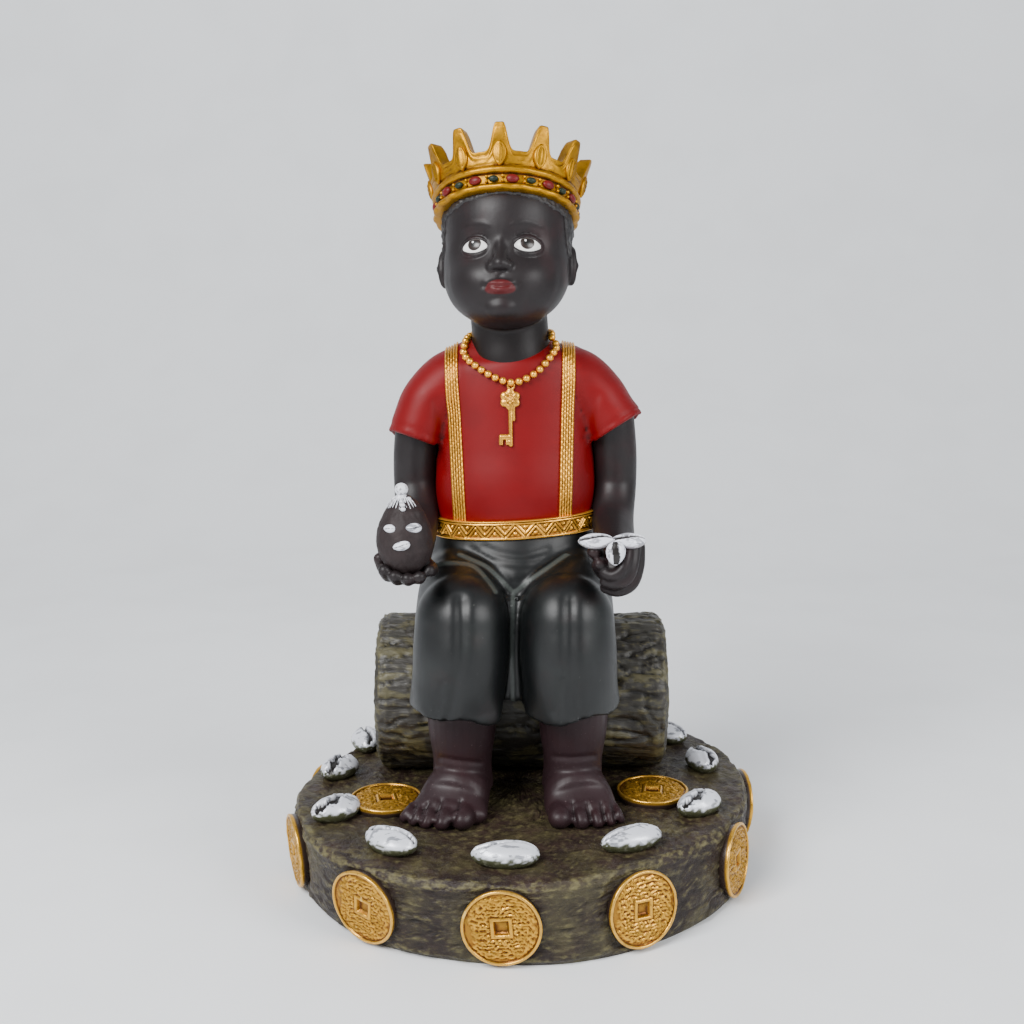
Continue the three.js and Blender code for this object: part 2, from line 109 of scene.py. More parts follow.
# The skull's rings from the chin up, in the head's frame: height, half width, front, back.
SKULL = [
    (-28, 0.5, -13, -5),
    (-27, 7, -19, 0),
    (-24, 13.5, -21.6, 6),
    (-19, 19, -22.8, 12),
    (-12, 22.4, -23.4, 18),
    (-4, 23.4, -22.8, 24),
    (4, 23.4, -23.2, 27),
    (12, 23.8, -24, 27.4),
    (18, 22.6, -22.6, 25.6),
    (24, 17.6, -17, 20),
    (28, 10, -9, 12),
    (29.6, 0.5, 1, 3),
]
EYE_APART = 9.4
EYE_HEIGHT = -1.5
CROWN_POINTS = 12
RIM_COIN_TURNS = (-104, -71, -36, -4, 29, 65, 100, 139, 178, 217)
RIM_COIN_SPINS = (0, 4, -8, 5, -3) * 2
RIM_COIN_HEIGHT = 15.2
TOP_COINS = ((-50, -20.5, 12), (51, -12.5, -8))
# Each cowrie on the plinth: its turn round the plinth, its distance out and its own turn, then
# how long and wide it is beside the mean, how wide its slot is and how ragged.
PLINTH_SHELLS = (
    (-122, 75, 95, 0.9, 0.95, 1.2, 0.6),
    (-97, 72, 55, 0.8, 0.98, 1.9, 1),
    (-65, 75, 40, 0.9, 1.04, 1.7, 1),
    (-37, 75, -35, 0.98, 1, 0.9, 0.35),
    (-4, 71, 0, 1.08, 0.94, 0.3, 0.2),
    (34, 70, 25, 1.08, 0.84, 0.35, 0.3),
    (68, 72, 40, 0.9, 0.98, 1.4, 1),
    (103, 76, 100, 0.86, 0.94, 1.6, 0.8),
    (128, 79, -45, 0.95, 1, 0.9, 0.5),
    (156, 72, 20, 1, 0.95, 1.2, 0.8),
    (184, 70, -15, 0.95, 1, 0.7, 0.3),
    (210, 68, 35, 1, 0.9, 1.5, 0.9),
)


def srgb(*levels):
    """Screen levels from 0 to 255 as a linear colour."""
    shares = [level / 255 for level in levels]
    return tuple(v / 12.92 if v <= 0.04 else ((v + 0.055) / 1.055) ** 2.4 for v in shares)


def size_property(name, description, size):
    """A length that a user may change, its default given in millimetres."""
    return FloatProperty(name=name, description=description, default=size * MM, unit="LENGTH")


def power_property(name, description, watts):
    """A light's power that a user may change."""
    return FloatProperty(name=name, description=description, default=watts, unit="POWER")


def paint_property(name, description, *levels):
    """A colour that a user may change, its default given as screen levels."""
    colour = srgb(*levels)
    return FloatVectorProperty(name=name, description=description, subtype="COLOR", size=3, default=colour)


class FigureSizes(bpy.types.PropertyGroup):
    """Sizes that set the figure's main pieces."""

    plinth_radius: size_property("Plinth radius", "Mean radius of the plinth's underside", 88)
    plinth_height: size_property("Plinth height", "Height of the plinth's top", 30)
    coin_radius: size_property("Coin radius", "Radius of each coin", 13.7)
    shell_length: size_property("Shell length", "Length of each cowrie on the plinth", 22)
    log_radius: size_property("Log radius", "Mean radius of the log", 31)
    log_length: size_property("Log length", "Length of the log", 113)
    crown_radius: size_property("Crown radius", "Radius of the crown's band", 26.4)
    crown_height: size_property("Crown height", "Height of the crown's points", 23.5)
    bead_size: size_property("Bead size", "Width of a necklace bead", 2.8)


class FigurePaints(bpy.types.PropertyGroup):
    """Colours of the figure's paints."""

    skin: paint_property("Skin", "Head, neck, arms and hands", 27, 22, 23)
    feet: paint_property("Feet", "Shins and feet", 40, 26, 29)
    shirt: paint_property("Shirt", "Red shirt", 108, 0, 5)
    trousers: paint_property("Trousers", "Black trousers", 7, 9, 10)
    gold: paint_property("Gold", "Belt, braces, beads and key", 230, 166, 60)
    crown: paint_property("Crown gold", "Crown", 172, 122, 8)
    coin_gold: paint_property("Coin gold", "Faces of the coins", 214, 160, 54)
    resin: paint_property("Plinth", "Plinth's dark ground coat", 36, 26, 22)
    olive: paint_property("Olive", "Dry-brushed olive on plinth and log", 98, 92, 60)
    bark: paint_property("Bark", "Log's ground coat", 42, 38, 32)
    shell: paint_property("Shell", "White of the cowries", 226, 228, 236)
    lips: paint_property("Lips", "Dull red of the lips", 76, 18, 20)


class StageLook(bpy.types.PropertyGroup):
    """Light and floor of the stage."""

    key: power_property("Key light", "Power of the large light on the left", 21)
    fill: power_property("Fill light", "Power of the fill light on the right", 9)
    floor: paint_property("Floor", "Pale floor and backdrop", 240, 242, 244)


def millimetres(name):
    """One of the figure's sizes, in millimetres."""
    return getattr(bpy.context.scene.figure_sizes, name) / MM


# Numbers worked over many points at once.


def smoothstep(value, low, high):
    """0 below low, 1 above high, and smooth between; the other way round where low is above high."""
    share = np.clip((value - low) / (high - low), 0, 1)
    return share * share * (3 - 2 * share)


def near(points, centre, width):
    """1 at a centre, falling to nothing beyond a width, which may differ along each axis."""
    return np.exp(-(((points - np.asarray(centre)) / np.asarray(width)) ** 2).sum(axis=1))


# Large numbers that turn a cell's place and a seed into a level that looks random.
CELL_MIX = (73856093, 19349663, 83492791)
SEED_MIX = 2654435
LEVEL_MIX = 1274126177
WHOLE = 0x7FFFFFFF
LEVELS = 0xFFFF


def lumps(points, size, seed=0):
    """Smooth noise from -1 to 1 whose lumps have about a size, which may differ along each axis."""
    cells = points / np.asarray(size)
    base = np.floor(cells).astype(np.int64)
    share = cells - base
    share = share * share * (3 - 2 * share)
    total = np.zeros(len(points))
    for corner in np.ndindex(2, 2, 2):
        at = base + np.array(corner)
        across, deep, up = (at * np.array(CELL_MIX)).T
        mixed = (across ^ deep ^ up ^ seed * SEED_MIX) & WHOLE
        mixed = (mixed ^ (mixed >> 13)) * LEVEL_MIX
        value = ((mixed >> 12) & LEVELS) / (LEVELS / 2) - 1
        weight = np.prod(np.where(np.array(corner) == 1, share, 1 - share), axis=1)
        total += value * weight
    return total


def smooth_path(rows, between):
    """Rows of numbers with more rows between them, on a smooth curve through them all."""
    rows = np.array(rows, float)
    ends = np.vstack([2 * rows[0] - rows[1], rows, 2 * rows[-1] - rows[-2]])
    path = []
    for before, start, stop, after in zip(ends, ends[1:], ends[2:], ends[3:]):
        for t in np.arange(between) / between:
            bend = 2 * before - 5 * start + 4 * stop - after
            twist = 3 * start - before - 3 * stop + after
            path.append(start + ((stop - before) * t + bend * t**2 + twist * t**3) / 2)
    return np.array([*path, rows[-1]])


def to_line(points, line):
    """Each point's distance to a line of points, in two or three dimensions."""
    nearest = np.full(len(points), 1e9)
    for start, stop in zip(line, line[1:]):
        span = stop - start
        share = np.clip((points - start) @ span / (span @ span), 0, 1)
        nearest = np.minimum(nearest, np.linalg.norm(points - start - share[:, None] * span, axis=1))
    return nearest


def seen(points):
    """Where points fall in the photograph's frame, in pixels."""
    pitch = radians(CAMERA_PITCH)
    offset = points - np.array(CAMERA_AT)
    depth = offset @ (0, cos(pitch), -sin(pitch))
    right = PHOTO_SIZE / 2 + FOCAL_PIXELS * offset[:, 0] / depth
    down = PHOTO_SIZE / 2 - FOCAL_PIXELS * (offset @ (0, sin(pitch), cos(pitch))) / depth
    return np.stack([right, down], axis=1)


def frame_points(points, matrix):
    """Points carried by a matrix."""
    return points @ np.array(matrix.to_3x3()).T + np.array(matrix.translation)


# Forms, as closed bmesh shapes that may overlap.


def half_axes(centre, across, depth, along):
    """A matrix that sends a unit shape to three half axes round a centre."""
    matrix = Matrix((across, depth, along)).transposed().to_4x4()
    matrix.translation = centre
    return matrix


def ball(form, centre, halves, turn=(0, 0, 0), steps=28):
    """A ball squeezed to three half sizes, turned by degrees and moved to its centre."""
    spin = Euler([radians(a) for a in turn]).to_matrix()
    axes = [spin @ (axis * half) for axis, half in zip((X, Y, Z), halves)]
    bmesh.ops.create_uvsphere(
        form, u_segments=steps, v_segments=steps // 2, radius=1, matrix=half_axes(centre, *axes)
    )


def loft(form, matrices, sides):
    """A closed skin over rings, each the unit circle carried by a matrix."""
    loops = []
    for matrix in matrices:
        ring = bmesh.ops.create_circle(form, cap_ends=False, radius=1, segments=sides, matrix=matrix)
        loops.append(list({edge for vert in ring["verts"] for edge in vert.link_edges}))
    for below, above in zip(loops, loops[1:]):
        bmesh.ops.bridge_loops(form, edges=below + above)
    for loop in (loops[0], loops[-1]):
        bmesh.ops.edgeloop_fill(form, edges=loop)


def level_loft(form, stations, sides, between=5):
    """A closed skin over level rings at stations (x, y, z, half width, half depth)."""
    path = smooth_path(stations, between)
    loft(form, [half_axes((x, y, z), X * wide, Y * deep, Z) for x, y, z, wide, deep in path], sides)


def limb(form, stations, side=X, sides=28, between=5, rounded=(True, True)):
    """A limb through stations (x, y, z, half width, half depth), its width along side."""
    path = smooth_path(stations, between)
    steps = np.gradient(path[:, :3], axis=0)
    matrices = []
    for (x, y, z, wide, deep), step in zip(path, steps):
        along = Vector(step).normalized()
        across = (side - along * side.dot(along)).normalized()
        matrices.append(half_axes((x, y, z), across * wide, along.cross(across) * deep, along))
    loft(form, matrices, sides)
    for matrix, wanted in zip((matrices[0], matrices[-1]), rounded):
        if wanted:
            across, depth, along = (matrix.col[k].to_3d() for k in range(3))
            cap = half_axes(matrix.translation, across, depth, along * depth.length)
            bmesh.ops.create_uvsphere(form, u_segments=sides, v_segments=sides // 2, radius=1, matrix=cap)


def mirrored(stations):
    """The same stations on the other side of the body's middle."""
    return [(2 * BODY_X - x, *rest) for x, *rest in stations]


def outline(corners, step):
    """Points along a line of corners, about a step apart."""
    points = []
    for (r0, h0), (r1, h1) in zip(corners, corners[1:]):
        count = max(1, round(float(np.hypot(r1 - r0, h1 - h0)) / step))
        points += [(r0 + (r1 - r0) * k / count, h0 + (h1 - h0) * k / count) for k in range(count)]
    return points + [corners[-1]]


def turned(profile, steps, closed=False):
    """A solid of revolution about Z, from (radius, height) points. An open profile ends on the axis."""
    form = bmesh.new()
    line = [form.verts.new((radius, 0, height)) for radius, height in profile]
    pairs = list(zip(line, line[1:])) + ([(line[-1], line[0])] if closed else [])
    edges = [form.edges.new(pair) for pair in pairs]
    bmesh.ops.spin(form, geom=line + edges, cent=(0, 0, 0), axis=Z, angle=TURN, steps=steps, use_merge=True)
    bmesh.ops.remove_doubles(form, verts=form.verts, dist=1e-4)
    bmesh.ops.recalc_face_normals(form, faces=form.faces)
    return form


def meshed(form):
    """The form's mesh, its faces pointing out."""
    bmesh.ops.recalc_face_normals(form, faces=form.faces)
    mesh = bpy.data.meshes.new("form")
    form.to_mesh(mesh)
    form.free()
    return mesh


def fused(form, voxel, softening=6):
    """One soft skin round a form's overlapping shapes."""
    holder = bpy.data.objects.new("form", meshed(form))
    bpy.context.scene.collection.objects.link(holder)
    melt = holder.modifiers.new("Melt", "REMESH")
    melt.mode = "VOXEL"
    melt.voxel_size = voxel
    soften = holder.modifiers.new("Soften", "SMOOTH")
    soften.factor = 0.5
    soften.iterations = softening
    state = bpy.context.evaluated_depsgraph_get()
    mesh = bpy.data.meshes.new_from_object(holder.evaluated_get(state))
    bpy.data.objects.remove(holder)
    return mesh


def points_of(mesh, kind="co"):
    """A mesh's points, or its normals where kind is normal."""
    values = np.empty(len(mesh.vertices) * 3)
    mesh.vertices.foreach_get(kind, values)
    return values.reshape(-1, 3)


def reshape(mesh, move):
    """Moves a mesh's points: move(points, normals) gives their new places."""
    mesh.vertices.foreach_set("co", move(points_of(mesh), points_of(mesh, "normal")).ravel())
    mesh.update()


def mark(mesh, name, values):
    """A number on each point, for the paints to read."""
    mesh.attributes.new(name, "FLOAT", "POINT").data.foreach_set("value", np.asarray(values, float))


def under_crown(points):
    """Points drawn in where they would stand out through the crown's band."""
    local = frame_points(points, CROWN_FRAME.inverted())
    reach = np.hypot(local[:, 0], local[:, 1])
    limit = millimetres("crown_radius") - 1.6 + 6 * smoothstep(local[:, 2], -0.4, -3)
    local[:, :2] *= np.minimum(limit / np.maximum(reach, 1e-6), 1)[:, None]
    return frame_points(local, CROWN_FRAME)


def gathered(parts):
    """Several meshes as one; parts holds each mesh with the numbers marked on its points."""
    form = bmesh.new()
    for mesh, _ in parts:
        form.from_mesh(mesh)
    mesh = bpy.data.meshes.new("form")
    form.to_mesh(mesh)
    form.free()
    for name in parts[0][1]:
        mark(mesh, name, np.concatenate([marks[name] for _, marks in parts]))
    return mesh


def tree_of(mesh):
    """A mesh's surface, for finding the nearest place on it."""
    form = bmesh.new()
    form.from_mesh(mesh)
    tree = BVHTree.FromBMesh(form)
    form.free()
    return tree


def add_piece(name, mesh, paint, node="seated_figure"):
    """A finished piece: scaled to metres, painted, smooth, riding on the body in a node's place."""
    mesh.transform(Matrix.Scale(MM, 4))
    mesh.name = name
    mesh.materials.clear()
    mesh.materials.append(paint.material)
    mesh.shade_smooth()
    piece = bpy.data.objects.new(name, mesh)
    bpy.context.scene.collection.objects.link(piece)
    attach(piece, "root")
    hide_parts(node)
    return piece


def stroke(points, normals, lines, width, height, facing=0.15):
    """Ridges, or grooves where the height is below 0, drawn as lines in the photograph's frame."""
    towards = normals @ (0, -cos(radians(CAMERA_PITCH)), sin(radians(CAMERA_PITCH)))
    share = np.zeros(len(points))
    places = seen(points)
    for line in lines:
        share = np.maximum(share, np.exp(-((to_line(places, smooth_path(line, 6)) / width) ** 2)))
    return points + normals * (share * height * smoothstep(towards, facing, facing + 0.25))[:, None]


# Paints: each starts from a ground coat, and coats are laid over it through masks.


class Paint:
    """A procedural paint, with the nodes of its coats."""

    def __init__(self, name, colour, roughness, metallic=0.0, coat=0.0, shine=0.5):
        self.material = bpy.data.materials.new(name)
        self.material.use_nodes = True
        self.tree = self.material.node_tree
        self.surface = self.tree.nodes["Principled BSDF"]
        self.surface.inputs["Metallic"].default_value = metallic
        self.surface.inputs["Roughness"].default_value = roughness
        self.surface.inputs["Specular IOR Level"].default_value = shine
        self.surface.inputs["Coat Weight"].default_value = coat
        self.surface.inputs["Coat Roughness"].default_value = 0.25
        self.surface.inputs["Base Color"].default_value = (*colour, 1)
        self.colour = (*colour, 1)
        self.height = None
        self.where = self.add("ShaderNodeTexCoord").outputs["Object"]

    def add(self, kind, values=None, **settings):
        """A node with its settings and its inputs' values or links."""
        node = self.tree.nodes.new(kind)
        for key, value in settings.items():
            setattr(node, key, value)
        for key, value in (values or {}).items():
            if isinstance(value, bpy.types.NodeSocket):
                self.tree.links.new(value, node.inputs[key])
            else:
                node.inputs[key].default_value = value
        return node

    def grain(self, size, detail=3, stretch=(1, 1, 1)):
        """Noise from 0 to 1 whose lumps have about a size in millimetres."""
        scale = [1 / (size * MM * s) for s in stretch]
        place = self.add("ShaderNodeMapping", {"Vector": self.where, "Scale": scale})
        noise = self.add("ShaderNodeTexNoise", {"Vector": place.outputs[0], "Scale": 1, "Detail": detail})
        return noise.outputs["Fac"]

    def mask(self, value, low, high):
        """0 at low, 1 at high."""
        values = {"Value": value, "From Min": low, "From Max": high}
        return self.add("ShaderNodeMapRange", values, interpolation_type="SMOOTHSTEP").outputs["Result"]

    def marked(self, name):
        """The numbers marked on a mesh under a name."""
        return self.add("ShaderNodeAttribute", attribute_name=name).outputs["Fac"]

    def edges(self, low, high):
        """1 on edges and ridges; the other way round, in grooves, where low is above high."""
        return self.mask(self.add("ShaderNodeNewGeometry").outputs["Pointiness"], low, high)

    def both(self, first, second):
        """Two masks multiplied into one."""
        return self.add("ShaderNodeMath", {0: first, 1: second}, operation="MULTIPLY").outputs[0]

    def lay(self, colour, mask, strength=1.0):
        """A coat of colour over what is there, through a mask."""
        if strength != 1.0:
            mask = self.both(mask, strength)
        node = self.add("ShaderNodeMix", data_type="RGBA")
        for key, value in ((0, mask), (6, self.colour), (7, (*colour, 1))):
            if isinstance(value, bpy.types.NodeSocket):
                self.tree.links.new(value, node.inputs[key])
            else:
                node.inputs[key].default_value = value
        self.colour = node.outputs[2]
        self.tree.links.new(self.colour, self.surface.inputs["Base Color"])
        return self

    def mottle(self, colour, grain, low, high, strength=1.0):
        """A coat of colour where noise rises from low to high."""
        return self.lay(colour, self.mask(self.grain(*grain), low, high), strength)

    def vary(self, socket, mask, low, high):
        """A shader value that goes from low to high with a mask."""
        node = self.add("ShaderNodeMapRange", {"Value": mask, "To Min": low, "To Max": high})
        self.tree.links.new(node.outputs["Result"], self.surface.inputs[socket])
        return self

    def rough(self, value, depth, strength=1.0):
        """Fine relief, its depth in millimetres."""
        values = {"Height": value, "Distance": depth * MM, "Strength": strength}
        if self.height:
            values["Normal"] = self.height
        self.height = self.add("ShaderNodeBump", values).outputs[0]
        self.tree.links.new(self.height, self.surface.inputs["Normal"])
        return self


def paints():
    """The figure's paint colours."""
    return bpy.context.scene.figure_paints


def shade(colour, share):
    """A colour made darker, or lighter where the share is above 1."""
    return tuple(min(1.0, value * share) for value in colour)


def skin_paint(name, colour=None):
    """Satin skin: faint mottling, with painted shade in the creases."""
    colour = tuple(colour or paints().skin)
    paint = Paint(name, colour, 0.46, shine=0.28)
    paint.mottle(shade(colour, 1.4), (9, 4), 0.45, 0.75, 0.5)
    paint.mottle(srgb(44, 22, 24), (14, 3), 0.5, 0.72, 0.5)
    # Painted shade in the creases.
    paint.lay(shade(colour, 0.3), paint.edges(0.49, 0.42), 0.8)
    paint.vary("Roughness", paint.grain(5), 0.38, 0.52)
    paint.rough(paint.grain(0.5, 4), 0.05, 0.5)
    return paint


def gold_paint(name, colour, metallic, roughness, wash=0.85):
    """Gold paint with a brown wash in its grooves, worn bright with a painted highlight on its edges."""
    colour = tuple(colour)
    paint = Paint(name, colour, roughness, metallic)
    brown = srgb(78, 42, 12)
    paint.mottle(shade(colour, 0.55), (4, 5), 0.42, 0.72, 0.6)
    paint.mottle(shade(brown, 1.6), (1.1, 4), 0.56, 0.72, 0.45)
    paint.lay(brown, paint.edges(0.505, 0.45), wash)
    # Worn gold and a painted highlight: lighter on the edges.
    paint.lay(shade(colour, 1.3), paint.edges(0.53, 0.6), 0.9)
    paint.vary("Roughness", paint.grain(1.5), roughness * 0.8, roughness * 1.25)
    paint.rough(paint.grain(0.5, 4), 0.07, 0.7)
    return paint


# PLINTH

# The height of the rounded edges above and below, and how far round each coin the side is scooped.
PLINTH_EDGE = 2.5
COIN_SCOOP = 18.5
PLINTH_STEPS = 360
# How far out a rim coin sits, as a share of the sum of the plinth's radii above and below.
RIM_COIN_SEAT = 0.494


def plinth_radius(turn, level):
    """The plinth's radius at a turn from its front, at its underside (0) or its top (1)."""
    shift = (1.6 + 1.4 * level) * np.cos(turn - radians(58))
    oval = (1.2 + 4.4 * level) * np.cos(2 * (turn + radians(47)))
    return millimetres("plinth_radius") + shift + oval + 0.5 * np.sin(7 * turn)


def coin_frames():
    """Each rim coin's place: the plinth's side on z = 0, the coin's face along +z."""
    frames = []
    for degrees in RIM_COIN_TURNS:
        turn = radians(degrees)
        top, bottom = (float(plinth_radius(turn, level)) for level in (1, 0))
        lean = atan2(top - bottom, millimetres("plinth_height"))
        out = Matrix.Translation((0, -(top + bottom) * RIM_COIN_SEAT, RIM_COIN_HEIGHT))
        frames.append(Matrix.Rotation(turn, 4, "Z") @ out @ Matrix.Rotation(pi / 2 + lean, 4, "X"))
    return frames


class FIGURE_OT_plinth(bpy.types.Operator):
    """Adds the uneven round plinth, scooped round its coins"""

    bl_idname = "figure.plinth"
    bl_label = "Plinth"

    def execute(self, context):
        radius, top = millimetres("plinth_radius"), millimetres("plinth_height")
        edges = [(0.965, 0), (0.99, PLINTH_EDGE), (0.985, top - PLINTH_EDGE), (0.965, top)]
        edges = [(radius * share, height) for share, height in edges]
        under = outline([(0, 0), edges[0]], 12)
        side = outline(edges, 0.75)
        over = outline([edges[-1], (0, top)], 1.3)
        mesh = meshed(turned(under + side[1:] + over[1:], PLINTH_STEPS))

        def widen(points, normals):
            x, y, z = points.T
            level = np.interp(z, (0, PLINTH_EDGE, top - PLINTH_EDGE, top), (0, 0.1, 0.95, 1))
            share = plinth_radius(np.arctan2(x, -y), level) / radius
            return np.stack([x * share, y * share, z], axis=1)

        def weather(points, normals):
            hold = smoothstep(points[:, 2], 0.2, 3)
            for place in coin_frames():
                local = frame_points(points, place.inverted())
                reach = np.hypot(local[:, 0], local[:, 1])
                scoop = smoothstep(reach, COIN_SCOOP, COIN_SCOOP - 3.5) * smoothstep(local[:, 2], -7, -3)
                depth = np.maximum(local[:, 2] + 1.1, 0) * scoop * hold
                points = points - depth[:, None] * np.array(place.col[2].to_3d())
            turn = np.arctan2(points[:, 0], -points[:, 1])
            reach = np.hypot(points[:, 0], points[:, 1])
            around = np.stack([turn * 60, reach, points[:, 2]], axis=1)
            around += np.stack([lumps(points, 5, k) for k in (7, 8, 9)], axis=1) * 1.3
            wrinkles = smoothstep(np.abs(lumps(around, (6, 1.9, 1.9), 3)), 0.3, 0)
            relief = 0.55 * lumps(points, 8) + 0.34 * lumps(around, (3.5, 1.5, 1.5), 4) - 0.5 * wrinkles
            return points + normals * (relief * hold)[:, None]

        reshape(mesh, widen)
        reshape(mesh, weather)
        height = points_of(mesh)[:, 2]
        # The side under the top edge is marked for painted shade.
        mark(mesh, "side", smoothstep(height, top - 1, top - 4))
        mark(mesh, "rim", smoothstep(np.abs(height - top + 1.6), 1.8, 0.4))
        add_piece("plinth_slab", mesh, resin_paint(), "plinth")
        return {"FINISHED"}


def resin_paint():
    """Dark resin, dry-brushed with olive on what stands out, with painted shade on its side and in its
    hollows.
    """
    colour, olive = tuple(paints().resin), tuple(paints().olive)
    paint = Paint("resin_paint", colour, 0.5, shine=0.3)
    paint.mottle(srgb(54, 40, 34), (9, 5), 0.4, 0.7, 0.7)
    # Painted shade: the side is laid darker than the top.
    paint.lay(srgb(26, 18, 15), paint.marked("side"), 0.55)
    paint.mottle(shade(olive, 0.6), (16, 4), 0.42, 0.7, 0.5)
    scuffed = paint.mask(paint.grain(1.6, 7, (1.8, 1.8, 1)), 0.4, 0.72)
    paint.lay(olive, paint.both(scuffed, paint.edges(0.49, 0.53)), 0.8)
    # Painted shade in the hollows.
    paint.lay(shade(colour, 0.3), paint.edges(0.495, 0.455), 0.85)
    paint.lay(shade(olive, 1.35), paint.both(paint.marked("rim"), scuffed), 0.55)
    paint.vary("Roughness", paint.grain(3), 0.4, 0.62)
    paint.rough(paint.grain(1.2, 6, (1.8, 1.8, 1)), 0.8, 1.0)
    return paint


# COINS

# A coin's back and its field, as heights over what it is set on; half the width of its square hole
# and of the rim round it, with their depth and rise; and the strokes' rise and the step of their rows.
COIN_BACK = -4
COIN_FIELD = 1.1
COIN_STEPS = 108
HOLE = 2.35
HOLE_DEPTH = 1.7
HOLE_RIM = 3.6
HOLE_RIM_RISE = 0.55
STROKE_RISE = 0.6
STROKE_ROW = 1.18
STROKES_REACH = 11


def coin_profile(edge):
    """The coin's back, rim and field, as (radius, height) points."""
    back = [(0, COIN_BACK), (edge * 0.5, COIN_BACK), (edge * 0.96, COIN_BACK)]
    rim = [(edge * 0.98, 0), (edge, 1.3), (edge - 0.15, 1.7), (edge - 0.45, 1.85), (edge - 0.95, 1.8)]
    field = [(edge - 1.25, COIN_FIELD), (2, COIN_FIELD)]
    return back + outline(rim + field, 0.38) + [(1, COIN_FIELD), (0, COIN_FIELD)]


def strokes(flat, draw):
    """Rows of short strokes that aren't letters: 1 on each stroke, 0 between them."""
    ink = np.zeros(len(flat))
    for row in np.arange(-10.6, 10.7, STROKE_ROW):
        column = -STROKES_REACH + draw.uniform(0, 2)
        while column < STROKES_REACH:
            span = draw.uniform(0.8, 2.4)
            heights = row + draw.uniform(-0.5, 0.5, 3)
            line = np.stack([np.linspace(column, column + span, 3), heights], axis=1)
            ink = np.maximum(ink, smoothstep(to_line(flat, line), 0.44, 0.16))
            column += span + draw.uniform(0.4, 0.8)
    return ink


def coin_mesh(spin, seed):
    """A coin with a square hole, and the marks for its paint."""
    edge = millimetres("coin_radius")
    mesh = meshed(turned(coin_profile(edge), COIN_STEPS))
    marks = {"face": smoothstep(points_of(mesh)[:, 2], 0.3, 0.9)}

    def stamp(points, normals):
        face = points[:, 2] > COIN_FIELD - 0.05
        flat = points[:, :2]
        reach = np.hypot(*flat.T)
        corner = reach / np.maximum(np.abs(flat).max(axis=1), 1e-6) - 1
        flat = flat * (1 + corner * smoothstep(reach, 9.5, 4) * face)[:, None]
        square = np.abs(flat).max(axis=1)
        relief = HOLE_RIM_RISE * smoothstep(square, HOLE_RIM + 0.15, HOLE_RIM - 0.15)
        relief -= HOLE_DEPTH * smoothstep(square, HOLE + 0.15, HOLE - 0.15)
        within = smoothstep(square, 3.9, 4.3) * smoothstep(reach, edge - 1.4, edge - 1.8)
        relief += STROKE_RISE * strokes(flat, np.random.default_rng(seed)) * within
        front = face * smoothstep(reach, edge - 0.9, edge - 1.25)
        rough = 0.12 * lumps(points + seed * 7.3, 1.6) * (points[:, 2] > 0)
        marks["low"] = front * (1 - smoothstep(relief, 0.05, 0.4))
        return np.column_stack([flat, points[:, 2] + relief * front + rough])

    reshape(mesh, stamp)
    mesh.transform(Matrix.Rotation(radians(spin), 4, "Z"))
    return mesh, marks


class FIGURE_OT_coins(bpy.types.Operator):
    """Adds the square-holed coins on the plinth's side and top"""

    bl_idname = "figure.coins"
    bl_label = "Coins"

    def execute(self, context):
        paint = coin_paint()
        top = millimetres("plinth_height") + 1.2
        around = [
            (place, spin, 1 + k) for k, (place, spin) in enumerate(zip(coin_frames(), RIM_COIN_SPINS))
        ]
        above = [
            (Matrix.Translation((x, y, top)), spin, 40 + k) for k, (x, y, spin) in enumerate(TOP_COINS)
        ]
        for name, places in (("rim_coins", around), ("top_coins", above)):
            coins = []
            for place, spin, seed in places:
                mesh, marks = coin_mesh(spin, seed)
                mesh.transform(place)
                coins.append((mesh, marks))
            add_piece(name, gathered(coins), paint, "plinth")
        return {"FINISHED"}


def coin_paint():
    """Bright gold faces with a painted highlight on what stands out, resin brown on their edges and in the
    strokes.
    """
    colour = tuple(paints().coin_gold)
    paint = Paint("coin_paint", shade(tuple(paints().resin), 1.3), 0.34)
    face = paint.marked("face")
    paint.lay(colour, face)
    paint.lay(srgb(132, 82, 24), paint.marked("low"), 0.7)
    paint.lay(srgb(84, 46, 14), paint.both(face, paint.edges(0.503, 0.455)), 0.95)
    worn = paint.mask(paint.grain(3, 5), 0.5, 0.7)
    paint.lay(shade(colour, 0.5), paint.both(face, worn), 0.7)
    # A painted highlight on the raised edges of the faces.
    paint.lay(srgb(250, 214, 130), paint.both(face, paint.edges(0.535, 0.6)), 0.6)
    paint.vary("Metallic", face, 0.0, 0.8)
    paint.vary("Roughness", paint.grain(1.2), 0.22, 0.36)
    paint.rough(paint.grain(0.6, 4), 0.09, 0.7)
    return paint


# COWRIES

# Half a plinth shell's height, and how far its middle is over the plinth's top.
SHELL_HALF_HEIGHT = 4.7
SHELL_RISE = 3.0


